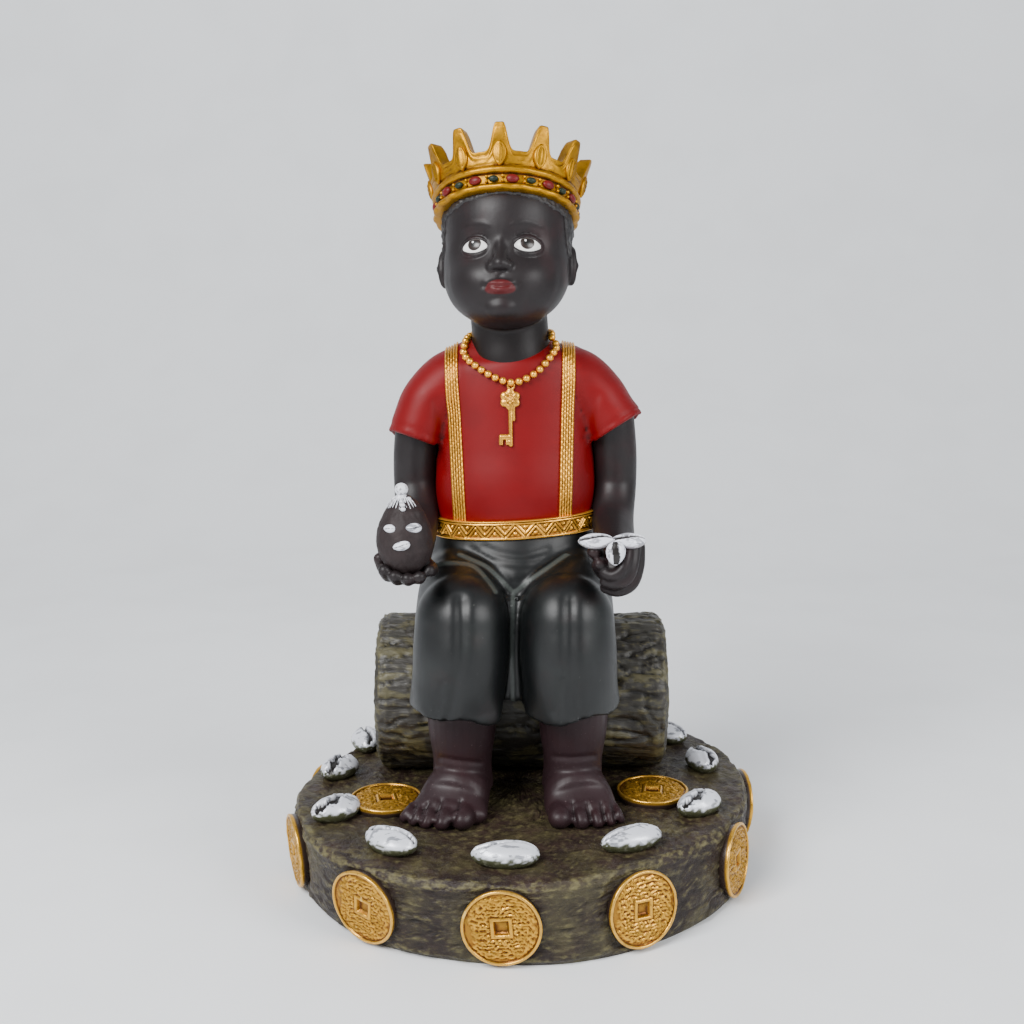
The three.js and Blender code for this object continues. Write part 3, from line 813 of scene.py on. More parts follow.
def cowrie(halves, seed, slot_width=0.75, ragged=0.0, around=48, along=44, pointed=0.12, toothed=1.0):
    """A cowrie lying along x, its slot up, with the marks for its paint."""
    form = bmesh.new()
    bmesh.ops.create_uvsphere(
        form, u_segments=around, v_segments=along, radius=1, matrix=Matrix.Rotation(pi / 2, 4, "Y")
    )
    mesh = meshed(form)
    half_length, half_width, half_height = halves
    marks = {}

    def grow(points, normals):
        x, y, z = points.T
        round_here = np.sqrt(np.maximum(1 - x**2, 1e-9))
        share = np.clip(y / round_here, -1, 1)
        share = np.sign(share) * np.abs(share) ** np.where(z > 0, 1.5, 1)
        y = share * round_here
        z = np.sign(z) * np.sqrt(np.maximum(round_here**2 - y**2, 0))
        wide = 1 + 0.13 * x - pointed * np.abs(x) ** 3
        across = half_width * y * wide
        bend = (0.14 + 0.14 * ragged) * half_width * np.sin(2.7 * x)
        from_slot = np.abs(across - bend)
        bank = 1.7 * np.sign(across - bend) + seed
        torn = 1 + ragged * (0.6 * np.sin(5.3 * x + bank) + 0.4 * np.sin(11.7 * x + 2 * bank))
        size = half_width / 7.5
        teeth = 0.24 * np.sin(x * half_length / size * 4.2 + seed)
        teeth += 0.16 * np.sin(x * half_length * 9 + 2 * seed)
        width = size * (slot_width * (1 - 0.55 * np.abs(x) ** 3) * torn + teeth * toothed)
        over = smoothstep(z, 0, 0.25) * smoothstep(np.abs(x), 0.96, 0.88)
        sunk = smoothstep(from_slot, width + 0.3 * size, width - 0.25 * size) * over
        lips = np.exp(-(((from_slot - width - 1.1 * size) / (0.9 * size)) ** 2)) * over
        height = half_height * z * np.where(z > 0, 0.94, 1) - 1.7 * size * sunk + 0.5 * size * lips
        marks["slot"] = smoothstep(from_slot, width + 0.22 * size, width - 0.05 * size) * over
        made = np.stack([half_length * x, across, height], axis=1)
        brushed = lumps(made + 3.3 * seed, (2.6 * size, 0.8 * size, 0.8 * size))
        marks["top"] = smoothstep(z + 0.32 * brushed, 0.0, 0.2)
        return made + 0.1 * size * lumps(made + seed * 5.1, 1.7 * size)[:, None] * points

    reshape(mesh, grow)
    return mesh, marks


def shell_paint(name, low=(70, 72, 50), metallic=0.25):
    """White cowries, silvery and olive underneath, nearly black in the slot, with painted shade in the
    grooves.
    """
    colour = tuple(paints().shell)
    paint = Paint(name, srgb(*low), 0.32, metallic)
    paint.mottle(srgb(120, 120, 104), (2, 4), 0.5, 0.7, 0.7)
    paint.lay(colour, paint.marked("top"))
    streaks = paint.mask(paint.grain(2.2, 4, (2.5, 0.8, 1)), 0.55, 0.62)
    paint.lay(srgb(104, 106, 114), paint.both(paint.marked("top"), streaks), 0.75)
    # Painted shade in the grooves.
    paint.lay(srgb(60, 54, 50), paint.edges(0.485, 0.43), 0.6)
    paint.lay(srgb(26, 22, 20), paint.marked("slot"))
    paint.vary("Roughness", paint.grain(1), 0.26, 0.42)
    paint.rough(paint.grain(0.5, 4), 0.06, 0.6)
    return paint


class FIGURE_OT_cowries(bpy.types.Operator):
    """Adds the cowrie shells set on the plinth's top"""

    bl_idname = "figure.cowries"
    bl_label = "Cowries"

    def execute(self, context):
        length = millimetres("shell_length")
        height = millimetres("plinth_height") + SHELL_RISE
        shells = []
        for k, (degrees, radius, spin, long, wide, slot, ragged) in enumerate(PLINTH_SHELLS):
            halves = (length / 2 * long, length * 0.31 * wide, SHELL_HALF_HEIGHT)
            mesh, marks = cowrie(halves, k * 1.7, slot, ragged)
            turn = radians(degrees)
            at = (radius * sin(turn), -radius * cos(turn), height)
            mesh.transform(Matrix.Translation(at) @ Matrix.Rotation(radians(spin), 4, "Z"))
            shells.append((mesh, marks))
        add_piece("plinth_cowries", gathered(shells), shell_paint("cowrie_paint"), "plinth")
        return {"FINISHED"}


# LOG

# The log's middle: its x and y, and how far it is sunk into the plinth.
LOG_AT = (1, 25)
LOG_SINK = 0.6
LOG_STEPS = 230


def bark_paint():
    """Grey-brown bark, dry-brushed with olive on its plates, with painted shade that makes its cracks
    nearly black.
    """
    colour, olive = tuple(paints().bark), tuple(paints().olive)
    paint = Paint("bark_paint", colour, 0.5)
    paint.mottle(srgb(58, 56, 50), (11, 4), 0.42, 0.62, 0.6)
    paint.mottle(shade(olive, 0.9), (5, 5, (2, 1, 1)), 0.49, 0.62, 0.65)
    # Painted shade in the cracks.
    paint.lay(shade(colour, 0.2), paint.edges(0.495, 0.44), 0.95)
    brushed = paint.mask(paint.grain(2, 5), 0.4, 0.65)
    paint.lay(shade(olive, 1.4), paint.both(brushed, paint.edges(0.51, 0.56)), 0.6)
    paint.vary("Roughness", paint.grain(3), 0.36, 0.6)
    paint.rough(paint.grain(0.8, 6, (5, 1, 1)), 0.35, 0.9)
    return paint


class FIGURE_OT_log(bpy.types.Operator):
    """Adds the thick log with its cracked, wrinkled bark"""

    bl_idname = "figure.log"
    bl_label = "Log"

    def execute(self, context):
        radius, length = millimetres("log_radius"), millimetres("log_length")
        middle = np.array((*LOG_AT, millimetres("plinth_height") + radius - LOG_SINK))
        half = length / 2
        end = [(0.0, half), (radius * 0.9, half), (radius * 0.97, half - 1.2), (radius, half - 4)]
        bark = outline([(r, h) for r, h in reversed(end)], 1.1)
        start = [(r, -h) for r, h in reversed(bark)]
        wall = outline([start[-1], bark[0]], 1.0)
        mesh = meshed(turned(start + wall[1:] + bark[1:], LOG_STEPS))
        mesh.transform(Matrix.Translation(middle) @ Matrix.Rotation(pi / 2, 4, "Y"))

        def crack(points, normals):
            local = points - middle
            side = smoothstep(half - np.abs(local[:, 0]), 0.2, 3)
            turn = np.arctan2(local[:, 1], local[:, 2])
            ridges = 0.8 * np.sin(7 * turn + 9 * local[:, 0] / length)
            swirl = np.stack([lumps(points, 9, k) for k in (1, 2, 3)], axis=1) * 1.4
            warped = points + swirl
            long_grooves = smoothstep(np.abs(lumps(warped, (30, 3.2, 3.2), 4)), 0.17, 0)
            fine_grooves = smoothstep(np.abs(lumps(warped, (14, 1.4, 1.4), 11)), 0.24, 0)
            cross_grooves = smoothstep(np.abs(lumps(warped, (5, 13, 13), 5)), 0.07, 0)
            relief = 0.6 * ridges - 1.5 * long_grooves - 0.7 * cross_grooves - 0.45 * fine_grooves
            relief += 0.4 * lumps(points, (14, 7, 7), 6) + 0.2 * lumps(points, (6, 1.4, 1.4), 7)
            reach = np.hypot(local[:, 1], local[:, 2])
            rings = 0.35 * np.sin(reach * 2.1 + 1.5 * lumps(points, 8, 8)) + 0.25 * lumps(points, 1.5, 9)
            return points + normals * (relief * side + rings * (1 - side))[:, None]

        reshape(mesh, crack)
        add_piece("log", mesh, bark_paint())
        return {"FINISHED"}


# TROUSERS AND FEET

# Lines on the trousers, in the photograph's pixels.
TROUSER_CREASES = (
    [(461, 600), (461, 654), (456, 682), (450, 712), (447, 724)],
    [(570, 600), (570, 670), (574, 700), (578, 722)],
)
TROUSER_FOLDS = (
    [(470, 549), (492, 560), (520, 565), (545, 561), (568, 551)],
    [(484, 547), (502, 554), (524, 556), (548, 549)],
    [(434, 716), (438, 698), (442, 684)],
    [(556, 712), (559, 696), (562, 682)],
)
TROUSER_RIDGES = (
    [(459, 554), (472, 560), (487, 567), (501, 580), (514, 593)],
    [(514, 593), (530, 580), (550, 566), (566, 555), (580, 547)],
    [(433, 566), (450, 563), (473, 566), (489, 582), (496, 592)],
)
TROUSER_SEAM = [(513, 596), (512, 650), (513, 711)]
# Worn paint and a painted highlight go on the lines only before this y; elsewhere a point counts as this
# many pixels off them.
WORN_AND_HIGHLIT_BEFORE = -12
OFF_WORN_AND_HIGHLIT_LINES = 9


def trouser_paint():
    """Satin black, with painted shade in its creases, worn grey with a painted highlight on the raised
    lines, and faintly scuffed.
    """
    colour = tuple(paints().trousers)
    paint = Paint("trouser_paint", colour, 0.44, shine=0.42)
    paint.mottle(srgb(18, 22, 21), (16, 3), 0.45, 0.7, 0.6)
    paint.mottle(srgb(30, 18, 18), (12, 3), 0.55, 0.75, 0.35)
    # Painted shade in the creases.
    paint.lay(shade(colour, 0.3), paint.edges(0.49, 0.43), 0.8)
    # Worn grey paint and a painted highlight along the raised lines and the seam.
    paint.lay(srgb(78, 84, 80), paint.mask(paint.marked("worn"), 3.2, 0.9), 0.6)
    paint.mottle(srgb(120, 124, 116), (0.9, 2), 0.74, 0.8, 0.3)
    paint.vary("Roughness", paint.grain(6), 0.36, 0.5)
    paint.rough(paint.grain(0.5, 4), 0.04, 0.5)
    return paint


class FIGURE_OT_trousers(bpy.types.Operator):
    """Adds the wide trousers, with their creases, folds and middle seam"""

    bl_idname = "figure.trousers"
    bl_label = "Trousers"

    def execute(self, context):
        form = bmesh.new()
        seat = [
            (BODY_X, 21, 92, 28, 20),
            (BODY_X, 12, 104, 34, 32),
            (BODY_X, 9, 116, 34, 30.5),
            (BODY_X, 9.5, 125, 31.8, 26),
            (BODY_X, 10, 133.5, 29.5, 22.5),
        ]
        fold = [
            (BODY_X, -18, 110, 10, 9),
            (BODY_X - 0.3, -22, 95, 9, 9),
            (BODY_X - 0.6, -22, HEM + 2, 8, 9),
        ]
        level_loft(form, seat, 48)
        limb(form, fold, rounded=(False, False))
        for hip, knee, hem in LEGS:
            thigh = [
                (hip, 16, 110, 17.5, 20),
                ((hip + knee) / 2, -8, 108, 18, 18.6),
                (knee, LEG_Y + 2, 102, 17.4, 17.4),
            ]
            shin = [
                (knee, LEG_Y + 1, 104, 17, 17.5),
                (knee * 1.02, LEG_Y, 94, 17.6, 18.5),
                ((knee + hem) / 2, LEG_Y, 82, 17.2, 18),
                (hem, LEG_Y, HEM, 16.8, 17.6),
            ]
            limb(form, thigh, sides=40, rounded=(False, True))
            limb(form, shin, sides=40, rounded=(True, False))
        mesh = fused(form, 0.95, 9)
        reshape(mesh, self.tailor)
        reshape(mesh, self.crumple)
        places = seen(points_of(mesh))
        # How far each point is from the raised lines and the seam, for worn paint and a painted highlight.
        worn = [to_line(places, smooth_path(line, 6)) for line in (*TROUSER_RIDGES, TROUSER_SEAM)]
        mark(mesh, "worn", np.where(points_of(mesh)[:, 1] < WORN_AND_HIGHLIT_BEFORE, np.min(worn, axis=0), OFF_WORN_AND_HIGHLIT_LINES))
        add_piece("trousers", mesh, trouser_paint())
        return {"FINISHED"}

    def tailor(self, points, normals):
        """The hems wave, hollow out under the leg and flare a little."""
        for hip, knee, hem in LEGS:
            offset = points - (hem, LEG_Y, HEM)
            turn = np.arctan2(offset[:, 0], -offset[:, 1])
            reach = np.hypot(offset[:, 0] / 16.8, offset[:, 1] / 17.6)
            low = smoothstep(points[:, 2], 84, HEM) * smoothstep(reach, 1.35, 1.1)
            wave = 0.9 * np.sin(3 * turn + hem) + 0.6 * np.sin(5 * turn)
            points = points + np.stack([0 * turn, 0 * turn, wave * low], axis=1)
            under = smoothstep(points[:, 2], HEM + 1.5, HEM + 0.7) * smoothstep(reach, 0.93, 0.84)
            points[:, 2] += 3.5 * under
            flare = 0.7 * np.sin(4 * turn + 2 * hem) * low * (1 - under)
            points[:, 0] += flare * np.sin(turn)
            points[:, 1] -= flare * np.cos(turn)
        return points

    def crumple(self, points, normals):
        """Creases, folds and the seam."""
        start = points
        points = stroke(points, normals, TROUSER_CREASES, 7, -1.3)
        points = stroke(points, normals, TROUSER_FOLDS[:2], 4, -0.4)
        points = stroke(points, normals, TROUSER_FOLDS[2:], 4.5, -0.8)
        points = stroke(points, normals, TROUSER_RIDGES[:2], 8, -1.1)
        points = stroke(points, normals, TROUSER_RIDGES[2:], 5, -0.35)
        points = stroke(points, normals, TROUSER_RIDGES, 2.9, 0.7)
        points = stroke(points, normals, [TROUSER_SEAM], 9, -1.0)
        points = stroke(points, normals, [TROUSER_SEAM], 2.8, 0.9)
        before = smoothstep(start[:, 1], -8, -14)[:, None]
        points = start + (points - start) * before
        soft = 0.4 * lumps(points, (11, 16, 22), 2)
        keep = smoothstep(points[:, 2], HEM, HEM + 3)
        return points + normals * (soft * keep)[:, None]


# Each foot's ankle (x, y), the x of its middle and its half width across the roots of the toes,
# then each toe from the big one: its root's x, its tip's x and y, and its half width.
FEET = (
    ((-21.3, -17), (-25.6, 14.4), (
        (-19.0, -21.1, -47.0, 4.2),
        (-25.7, -28.4, -46.8, 3.4),
        (-31.4, -34.2, -45.2, 2.7),
        (-36.0, -38.7, -42.4, 2.3),
        (-39.2, -42.2, -39.4, 2.0),
    )),
    ((20.1, -17), (23.0, 13.2), (
        (14.3, 14.9, -46.2, 4.3),
        (21.4, 22.6, -46.0, 3.4),
        (27.0, 28.5, -44.6, 2.6),
        (31.6, 33.2, -42.8, 2.2),
        (34.8, 36.8, -40.4, 1.9),
    )),
)
TOE_GROOVES = (
    [(460, 801), (455, 815), (450, 831)],
    [(441, 801), (437, 814), (432, 831)],
    [(428, 803), (423, 814), (418, 829)],
    [(416, 806), (412, 814), (408, 824)],
    [(572, 803), (574, 816), (577, 831)],
    [(587, 803), (590, 815), (593, 829)],
    [(602, 803), (604, 814), (607, 827)],
    [(613, 805), (615, 814), (617, 824)],
)
ANKLE_FOLDS = ([(441, 758), (458, 761), (480, 763)], [(554, 757), (574, 758), (594, 756)])


class FIGURE_OT_feet(bpy.types.Operator):
    """Adds the bare feet and ankles"""

    bl_idname = "figure.feet"
    bl_label = "Feet"

    def execute(self, context):
        form = bmesh.new()
        floor = millimetres("plinth_height")
        for (x, y), (middle, half), toes in FEET:
            shin = [
                (x, y - 5, 76, 13.4, 12.4),
                (x, y - 3, 60, 12.6, 11.6),
                (x, y - 2, 48, 11, 11),
                (x, y - 1, 37, 11.6, 12.4),
            ]
            instep = [
                (x, y + 4, floor + 5, 10, 8),
                (x + (middle - x) * 0.3, y - 7, floor + 7.6, 11.9, 11),
                (x + (middle - x) * 0.7, y - 13, floor + 5, 13.2, 8.2),
                (middle, y - 18.5, floor + 3.6, half, 5.2),
            ]
            limb(form, shin, rounded=(False, False))
            limb(form, instep)
            for root, tip, reach, wide in toes:
                toe = [
                    (root, y - 16, floor + 4.4, wide * 0.9, wide * 0.8),
                    ((root + tip) / 2, (y - 18 + reach) / 2, floor + 3.5, wide, wide * 0.98),
                    (tip, reach + wide, floor + wide * 0.72 + 0.3, wide * 0.97, wide * 0.86),
                ]
                limb(form, toe, sides=24, rounded=(True, True))
        mesh = fused(form, 0.66, 2)

        def finish(points, normals):
            points = stroke(points, normals, TOE_GROOVES, 2.2, -0.9, 0.1)
            points = stroke(points, normals, ANKLE_FOLDS, 2.6, -0.55)
            points[:, 2] = np.maximum(points[:, 2], floor - 0.6)
            return points

        reshape(mesh, finish)
        paint = skin_paint("foot_paint", paints().feet)
        paint.mottle(srgb(120, 104, 104), (0.8, 2), 0.7, 0.76, 0.35)
        add_piece("feet", mesh, paint)
        return {"FINISHED"}


# SHIRT


def shirt_mesh():
    """The shirt: a close body with short, full sleeves."""
    form = bmesh.new()
    limb(form, TORSO, sides=56, between=4, rounded=(False, False))
    for sleeve in (SLEEVE, mirrored(SLEEVE)):
        limb(form, sleeve, sides=44, between=6, rounded=(False, False))
    return fused(form, 1.0, 5)


def sleeve_ends():
    """Each sleeve's opening: its centre and the way it faces."""
    ends = []
    for sleeve in (SLEEVE, mirrored(SLEEVE)):
        last, before = np.array(sleeve[-1][:3]), np.array(sleeve[-2][:3])
        ends.append((last, (last - before) / np.linalg.norm(last - before)))
    return ends


# How far each sleeve's opening rises at its outer and its inner edge, the left one first.
SLEEVE_LIFTS = ((4.0, -1.2), (-2.5, -2.3))
# Folds at the armpits and over the belt, in the photograph's pixels.
SHIRT_FOLDS = (
    [(436, 402), (441, 424), (439, 446), (441, 470)],
    [(596, 396), (590, 416), (591, 440), (590, 466)],
)


def shirt_paint():
    """Dull satin red, with painted shade where folds meet."""
    colour = tuple(paints().shirt)
    paint = Paint("shirt_paint", colour, 0.5, shine=0.22)
    paint.mottle(shade(colour, 0.72), (15, 3), 0.42, 0.7, 0.5)
    paint.mottle(shade(colour, 1.3), (9, 3), 0.6, 0.8, 0.4)
    # Painted shade where folds meet.
    paint.lay(shade(colour, 0.15), paint.edges(0.488, 0.43), 0.85)
    paint.vary("Roughness", paint.grain(5), 0.44, 0.56)
    paint.rough(paint.grain(0.45, 4), 0.04, 0.5)
    return paint


class FIGURE_OT_shirt(bpy.types.Operator):
    """Adds the short-sleeved satin shirt"""

    bl_idname = "figure.shirt"
    bl_label = "Shirt"

    def execute(self, context):
        mesh = shirt_mesh()

        def drape(points, normals):
            points = stroke(points, normals, SHIRT_FOLDS, 4.5, -0.5)
            points = points + normals * (0.25 * lumps(points, (13, 13, 22), 4))[:, None]
            for (centre, along), (outer, inner) in zip(sleeve_ends(), SLEEVE_LIFTS):
                offset = points - centre
                same_side = points[:, 0] * centre[0] > 0
                out = np.clip((np.abs(points[:, 0] - BODY_X) - 27) / 20, 0, 1) * same_side
                depth = offset @ along
                lift = smoothstep(depth, -14, 0) * (out > 0) * (inner + (outer - inner) * out)
                points = points + np.stack([0 * lift, 0 * lift, lift * smoothstep(out, 0, 0.2)], axis=1)
                reach = np.linalg.norm(offset - depth[:, None] * along, axis=1)
                within = smoothstep(depth, -2.2, -0.6) * smoothstep(reach, 10.8, 8.2)
                points = points - along * (2.6 * within)[:, None]
                seam = np.exp(-(((depth + 2.6) / 0.7) ** 2))
                hem = seam * smoothstep(reach, 9, 10) * smoothstep(reach, 16, 14)
                points = points - normals * (0.35 * hem)[:, None]
            return points

        reshape(mesh, drape)
        add_piece("shirt", mesh, shirt_paint())
        return {"FINISHED"}


# BRACES, BELT, NECKLACE AND KEY

# The middle of each brace: its x at the belt and at the shoulder.
BRACES = ((-22.0, -25.4), (17.0, 18.4))
BRACE_WIDTH = 4.9
BRACE_CORDS = 5
BRACE_TURN_HEIGHT = 176
BRACE_END_HEIGHT = 133


class FIGURE_OT_braces(bpy.types.Operator):
    """Adds the two braided gold braces, from the belt over the shoulders to the belt behind"""

    bl_idname = "figure.braces"
    bl_label = "Braces"

    def execute(self, context):
        tree = tree_of(shirt_mesh())
        paint = gold_paint("brace_paint", paints().gold, 0.8, 0.32, 1.0)
        for name, ends in zip(("brace_right", "brace_left"), BRACES):
            form = bmesh.new()
            bmesh.ops.create_grid(form, x_segments=20, y_segments=350, size=0.5)
            bmesh.ops.solidify(form, geom=form.faces[:], thickness=0.5)
            mesh = meshed(form)
            reshape(mesh, lambda points, normals, ends=ends: self.lay(points, tree, ends))
            form = bmesh.new()
            form.from_mesh(mesh)
            add_piece(name, meshed(form), paint)
        return {"FINISHED"}

    def lay(self, points, tree, ends):
        """Each point goes out from the body's middle to the shirt, and the cords rise from it."""
        rise = BRACE_TURN_HEIGHT - BRACE_END_HEIGHT
        bow = 70
        upper = points[:, 2] > points[:, 2].mean()
        made = np.empty_like(points)
        path = (points[:, 1] + 0.5) * (2 * rise + bow)
        for k, (share, gone, outer) in enumerate(zip(points[:, 0], path, upper)):
            swing = min(max((gone - rise) / bow, 0), 1) * pi
            climbed = min(gone, rise) - max(gone - rise - bow, 0)
            height = BRACE_END_HEIGHT + climbed
            lean = (height - BRACE_END_HEIGHT) / (201 - BRACE_END_HEIGHT) + 0.35 * sin(swing)
            middle = ends[0] + (ends[1] - ends[0]) * min(lean, 1)
            way = Vector((0, -cos(swing), sin(swing)))
            hit = tree.ray_cast(Vector((middle + share * BRACE_WIDTH, 10.5, height)), way)[0]
            if hit is None:
                raise RuntimeError("a brace has left the shirt")
            cord = abs(sin(pi * BRACE_CORDS * (share + 0.5)))
            link = gone / 2.1 + 0.5 * (int((share + 0.5) * BRACE_CORDS - 1e-6) % 2)
            lay = abs(sin(pi * link)) ** 0.6
            relief = 0.35 + 0.85 * cord**0.6 * (0.45 + 0.55 * lay) if outer else -1.2
            made[k] = hit + way * relief
        return made


BELT_STEPS = 520
BELT_POINTS = 26
BELT_WIDTH = 7


class FIGURE_OT_belt(bpy.types.Operator):
    """Adds the gold belt with its border of pointed ornament"""

    bl_idname = "figure.belt"
    bl_label = "Belt"

    def execute(self, context):
        outer = outline([(1, -BELT_WIDTH / 2), (1, BELT_WIDTH / 2)], 0.25)
        inner = [(0.93, BELT_WIDTH / 2), (0.93, 0), (0.93, -BELT_WIDTH / 2)]
        mesh = meshed(turned(outer + inner, BELT_STEPS, closed=True))

        def wrap(points, normals):
            turn = np.arctan2(points[:, 0], -points[:, 1])
            reach = np.hypot(points[:, 0], points[:, 1])
            height = points[:, 2]
            part = turn / TURN * BELT_POINTS
            zigzag = -2.1 + 4.2 * np.abs((part % 1) * 2 - 1)
            slant = np.abs(height + 0.15 - zigzag) * 0.63
            relief = 0.75 * smoothstep(np.abs(height + 3), 0.62, 0.35)
            for line in (2.45, 3.3):
                relief = np.maximum(relief, 0.6 * smoothstep(np.abs(height - line), 0.34, 0.14))
            double = smoothstep(np.abs(slant - 0.52), 0.46, 0.1)
            relief = np.maximum(relief, 0.6 * double * smoothstep(np.abs(height), 2.6, 2.4))
            for centre, shift in ((-1.1, 0), (1.2, 0.5)):
                across = ((part + shift + 0.5) % 1 - 0.5) * TURN * 27.9 / BELT_POINTS
                dot = np.hypot(across, height - centre + 0.1)
                relief = np.maximum(relief, 0.55 * smoothstep(dot, 0.75, 0.3))
            relief *= reach > 0.96
            x = BELT_AT[0] + (BELT_HALVES[0] * reach + relief) * np.sin(turn)
            y = BELT_AT[1] - (BELT_HALVES[1] * reach + relief) * np.cos(turn)
            tilt = 0.045 * (x - BELT_AT[0]) + 0.25 * np.sin(2 * turn + 1)
            return np.stack([x, y, BELT_AT[2] + height + tilt], axis=1)

        reshape(mesh, wrap)
        add_piece("belt", mesh, gold_paint("belt_paint", paints().gold, 0.8, 0.3, 1.0))
        return {"FINISHED"}


# The necklace hangs through these points, from the wearer's right shoulder round the front.
NECKLACE = (
    (-21.9, 0.0, 200.0),
    (-18.5, -4.6, 196.0),
    (-12.0, -7.0, 191.2),
    (-2.7, -8.3, 187.9),
    (5.5, -7.2, 191.0),
    (10.6, -4.8, 196.0),
    (14.2, 0.0, 202.0),
    (13.4, 6.0, 204.4),
    (10.0, 16.5, 204.6),
    (-3.4, 22.6, 204.0),
    (-16.5, 16.5, 203.8),
    (-20.4, 6.0, 203.0),
    (-21.9, 0.0, 200.0),
)


# The key, flat on y = 0 until it is laid on the shirt: its bow's middle, its two shafts and its bit's
# upright as stations, and the bit's teeth as heights and the x that each reaches.
KEY_BOW = (-3.4, 181.8)
KEY_SHAFT = [(-3.4, 0, 179.5, 0.75, 0.8), (-3.2, 0, 172, 0.75, 0.8), (-3.1, 0, 165.4, 0.75, 0.8)]
KEY_THIN_SHAFT = [(-2.1, 0, 179, 0.55, 0.7), (-2.0, 0, 174.6, 0.55, 0.7)]
KEY_BIT = [(-6.7, 0, 168.4, 0.8, 0.75), (-6.7, 0, 165.4, 0.8, 0.75)]
KEY_TEETH = ((168.2, -7.2), (166.3, -4.9))
KEY_RING_BALLS = 14
KEY_PETALS = 6


def key_form():
    """The key's shapes: a small ring over a bow of petals, the shaft and the bit."""
    form = bmesh.new()
    x, z = KEY_BOW
    for k in range(KEY_RING_BALLS):
        turn = TURN * k / KEY_RING_BALLS
        ball(form, (x + 0.3 + 1.15 * cos(turn), 0, z + 5 + 1.3 * sin(turn)), (0.5, 0.6, 0.5), steps=10)
    for k in range(KEY_PETALS):
        turn = TURN * (k + 0.5) / KEY_PETALS
        ball(form, (x + 2.3 * cos(turn), 0, z + 2.3 * sin(turn)), (1.65, 0.9, 1.65), steps=18)
        ball(form, (x + 1.2 * cos(turn), -0.9, z + 1.2 * sin(turn)), (0.5, 0.5, 0.5), steps=12)
    ball(form, (x, -1, z), (0.55, 0.6, 0.55), steps=12)
    limb(form, KEY_SHAFT, sides=16)
    limb(form, KEY_THIN_SHAFT, sides=12)
    for height, reach in KEY_TEETH:
        tooth = [(-3.2, 0, height, 1.05, 0.75), (reach, 0, height, 1.05, 0.75)]
        limb(form, tooth, side=Z, sides=16, rounded=(False, False))
    limb(form, KEY_BIT, sides=16, rounded=(False, False))
    return form


class FIGURE_OT_necklace(bpy.types.Operator):
    """Adds the string of gold beads and the key that hangs from it"""

    bl_idname = "figure.necklace"
    bl_label = "Necklace and key"

    def execute(self, context):
        form = bmesh.new()
        form.from_mesh(shirt_mesh())
        limb(form, NECK, sides=48, rounded=(False, False))
        tree = tree_of(meshed(form))
        size = millimetres("bead_size")
        path = []
        for at in smooth_path(NECKLACE, 12):
            place, normal, _, _ = tree.find_nearest(Vector(at))
            path.append(place + normal * size * 0.4)
        path = np.array(path)
        for _ in range(6):
            path[1:-1] = (path[:-2] + 2 * path[1:-1] + path[2:]) / 4
        along = np.concatenate([[0], np.cumsum(np.linalg.norm(np.diff(path, axis=0), axis=1))])
        count = round(along[-1] / (size * 1.06))
        form = bmesh.new()
        for k in range(count):
            at = [np.interp(along[-1] * k / count, along, path[:, axis]) for axis in range(3)]
            ball(form, at, (size * 0.52, size * 0.5, size * 0.5), (0, 0, 40 * k), steps=14)
        beads = gold_paint("bead_paint", paints().gold, 0.8, 0.28)
        add_piece("necklace", meshed(form), beads)
        mesh = fused(key_form(), 0.22, 1)

        def hang(points, normals):
            for k, point in enumerate(points):
                hit = tree.ray_cast(Vector((point[0], -40, point[2])), Y)[0]
                points[k, 1] += hit.y - 0.5
            return points

        reshape(mesh, hang)
        add_piece("key", mesh, beads)
        return {"FINISHED"}


# ARMS AND HANDS


# The cupped right hand: its palm and thumb as stations, then each finger's tip and root.
CUPPED_PALM = [(-39.0, -20, 128.6, 6.6, 6), (-39.4, -30, 126.6, 8, 4.8), (-40, -40, 125.2, 8, 3.4)]
CUPPED_THUMB = [(-34, -31, 126, 3, 2.8), (-31, -40, 125.8, 2.6, 2.5), (-31.2, -46, 126.8, 2.1, 2.1)]
CUPPED_FINGERS = (
    ((-48.5, -45.2, 130.9), (-45.2, -36, 126.6)),
    ((-46.6, -49.0, 127.5), (-43.4, -38, 124.9)),
    ((-42.9, -50.6, 125.8), (-41, -39, 124.0)),
    ((-38.5, -51.2, 125.1), (-38.6, -39, 124.0)),
    ((-34.4, -50.4, 125.5), (-36.2, -38, 124.4)),
)
# The left fist: its palm as stations, three curled fingers as x, y, z, then the forefinger and thumb
# as stations.
FIST_PALM = [(35.2, -22, 128.4, 6.8, 6.4), (34.4, -32, 127, 8, 8), (34.2, -38, 126.2, 7.4, 8)]
FIST_FINGERS = (
    [
        (42.0, -38.5, 133.4),
        (41.6, -40.4, 126.6),
        (39.3, -42.2, 120.9),
        (34.4, -42.8, 118.6),
        (30.2, -41, 119.4),
    ],
    [
        (40.2, -41.0, 134.6),
        (39.4, -43.6, 128.8),
        (37.6, -45.0, 124.0),
        (33.4, -45.4, 121.8),
        (29.8, -43.6, 122.2),
    ],
    [
        (37.6, -42.5, 135.0),
        (36.8, -45.2, 130.6),
        (35.2, -46.4, 126.8),
        (32.2, -46.4, 125.0),
        (29.6, -44.6, 125.4),
    ],
)
FIST_THUMBS = (
    [(29.5, -26, 127.6, 3.4, 3), (26.8, -36, 131.2, 3, 2.8), (25.8, -43.4, 132.8, 2.4, 2.2)],
    [(30, -34, 124, 3.6, 3.4), (28, -40, 127, 2.9, 2.7), (27.8, -44.5, 128.8, 2.3, 2.2)],
)
HAND_VOXEL = 0.6


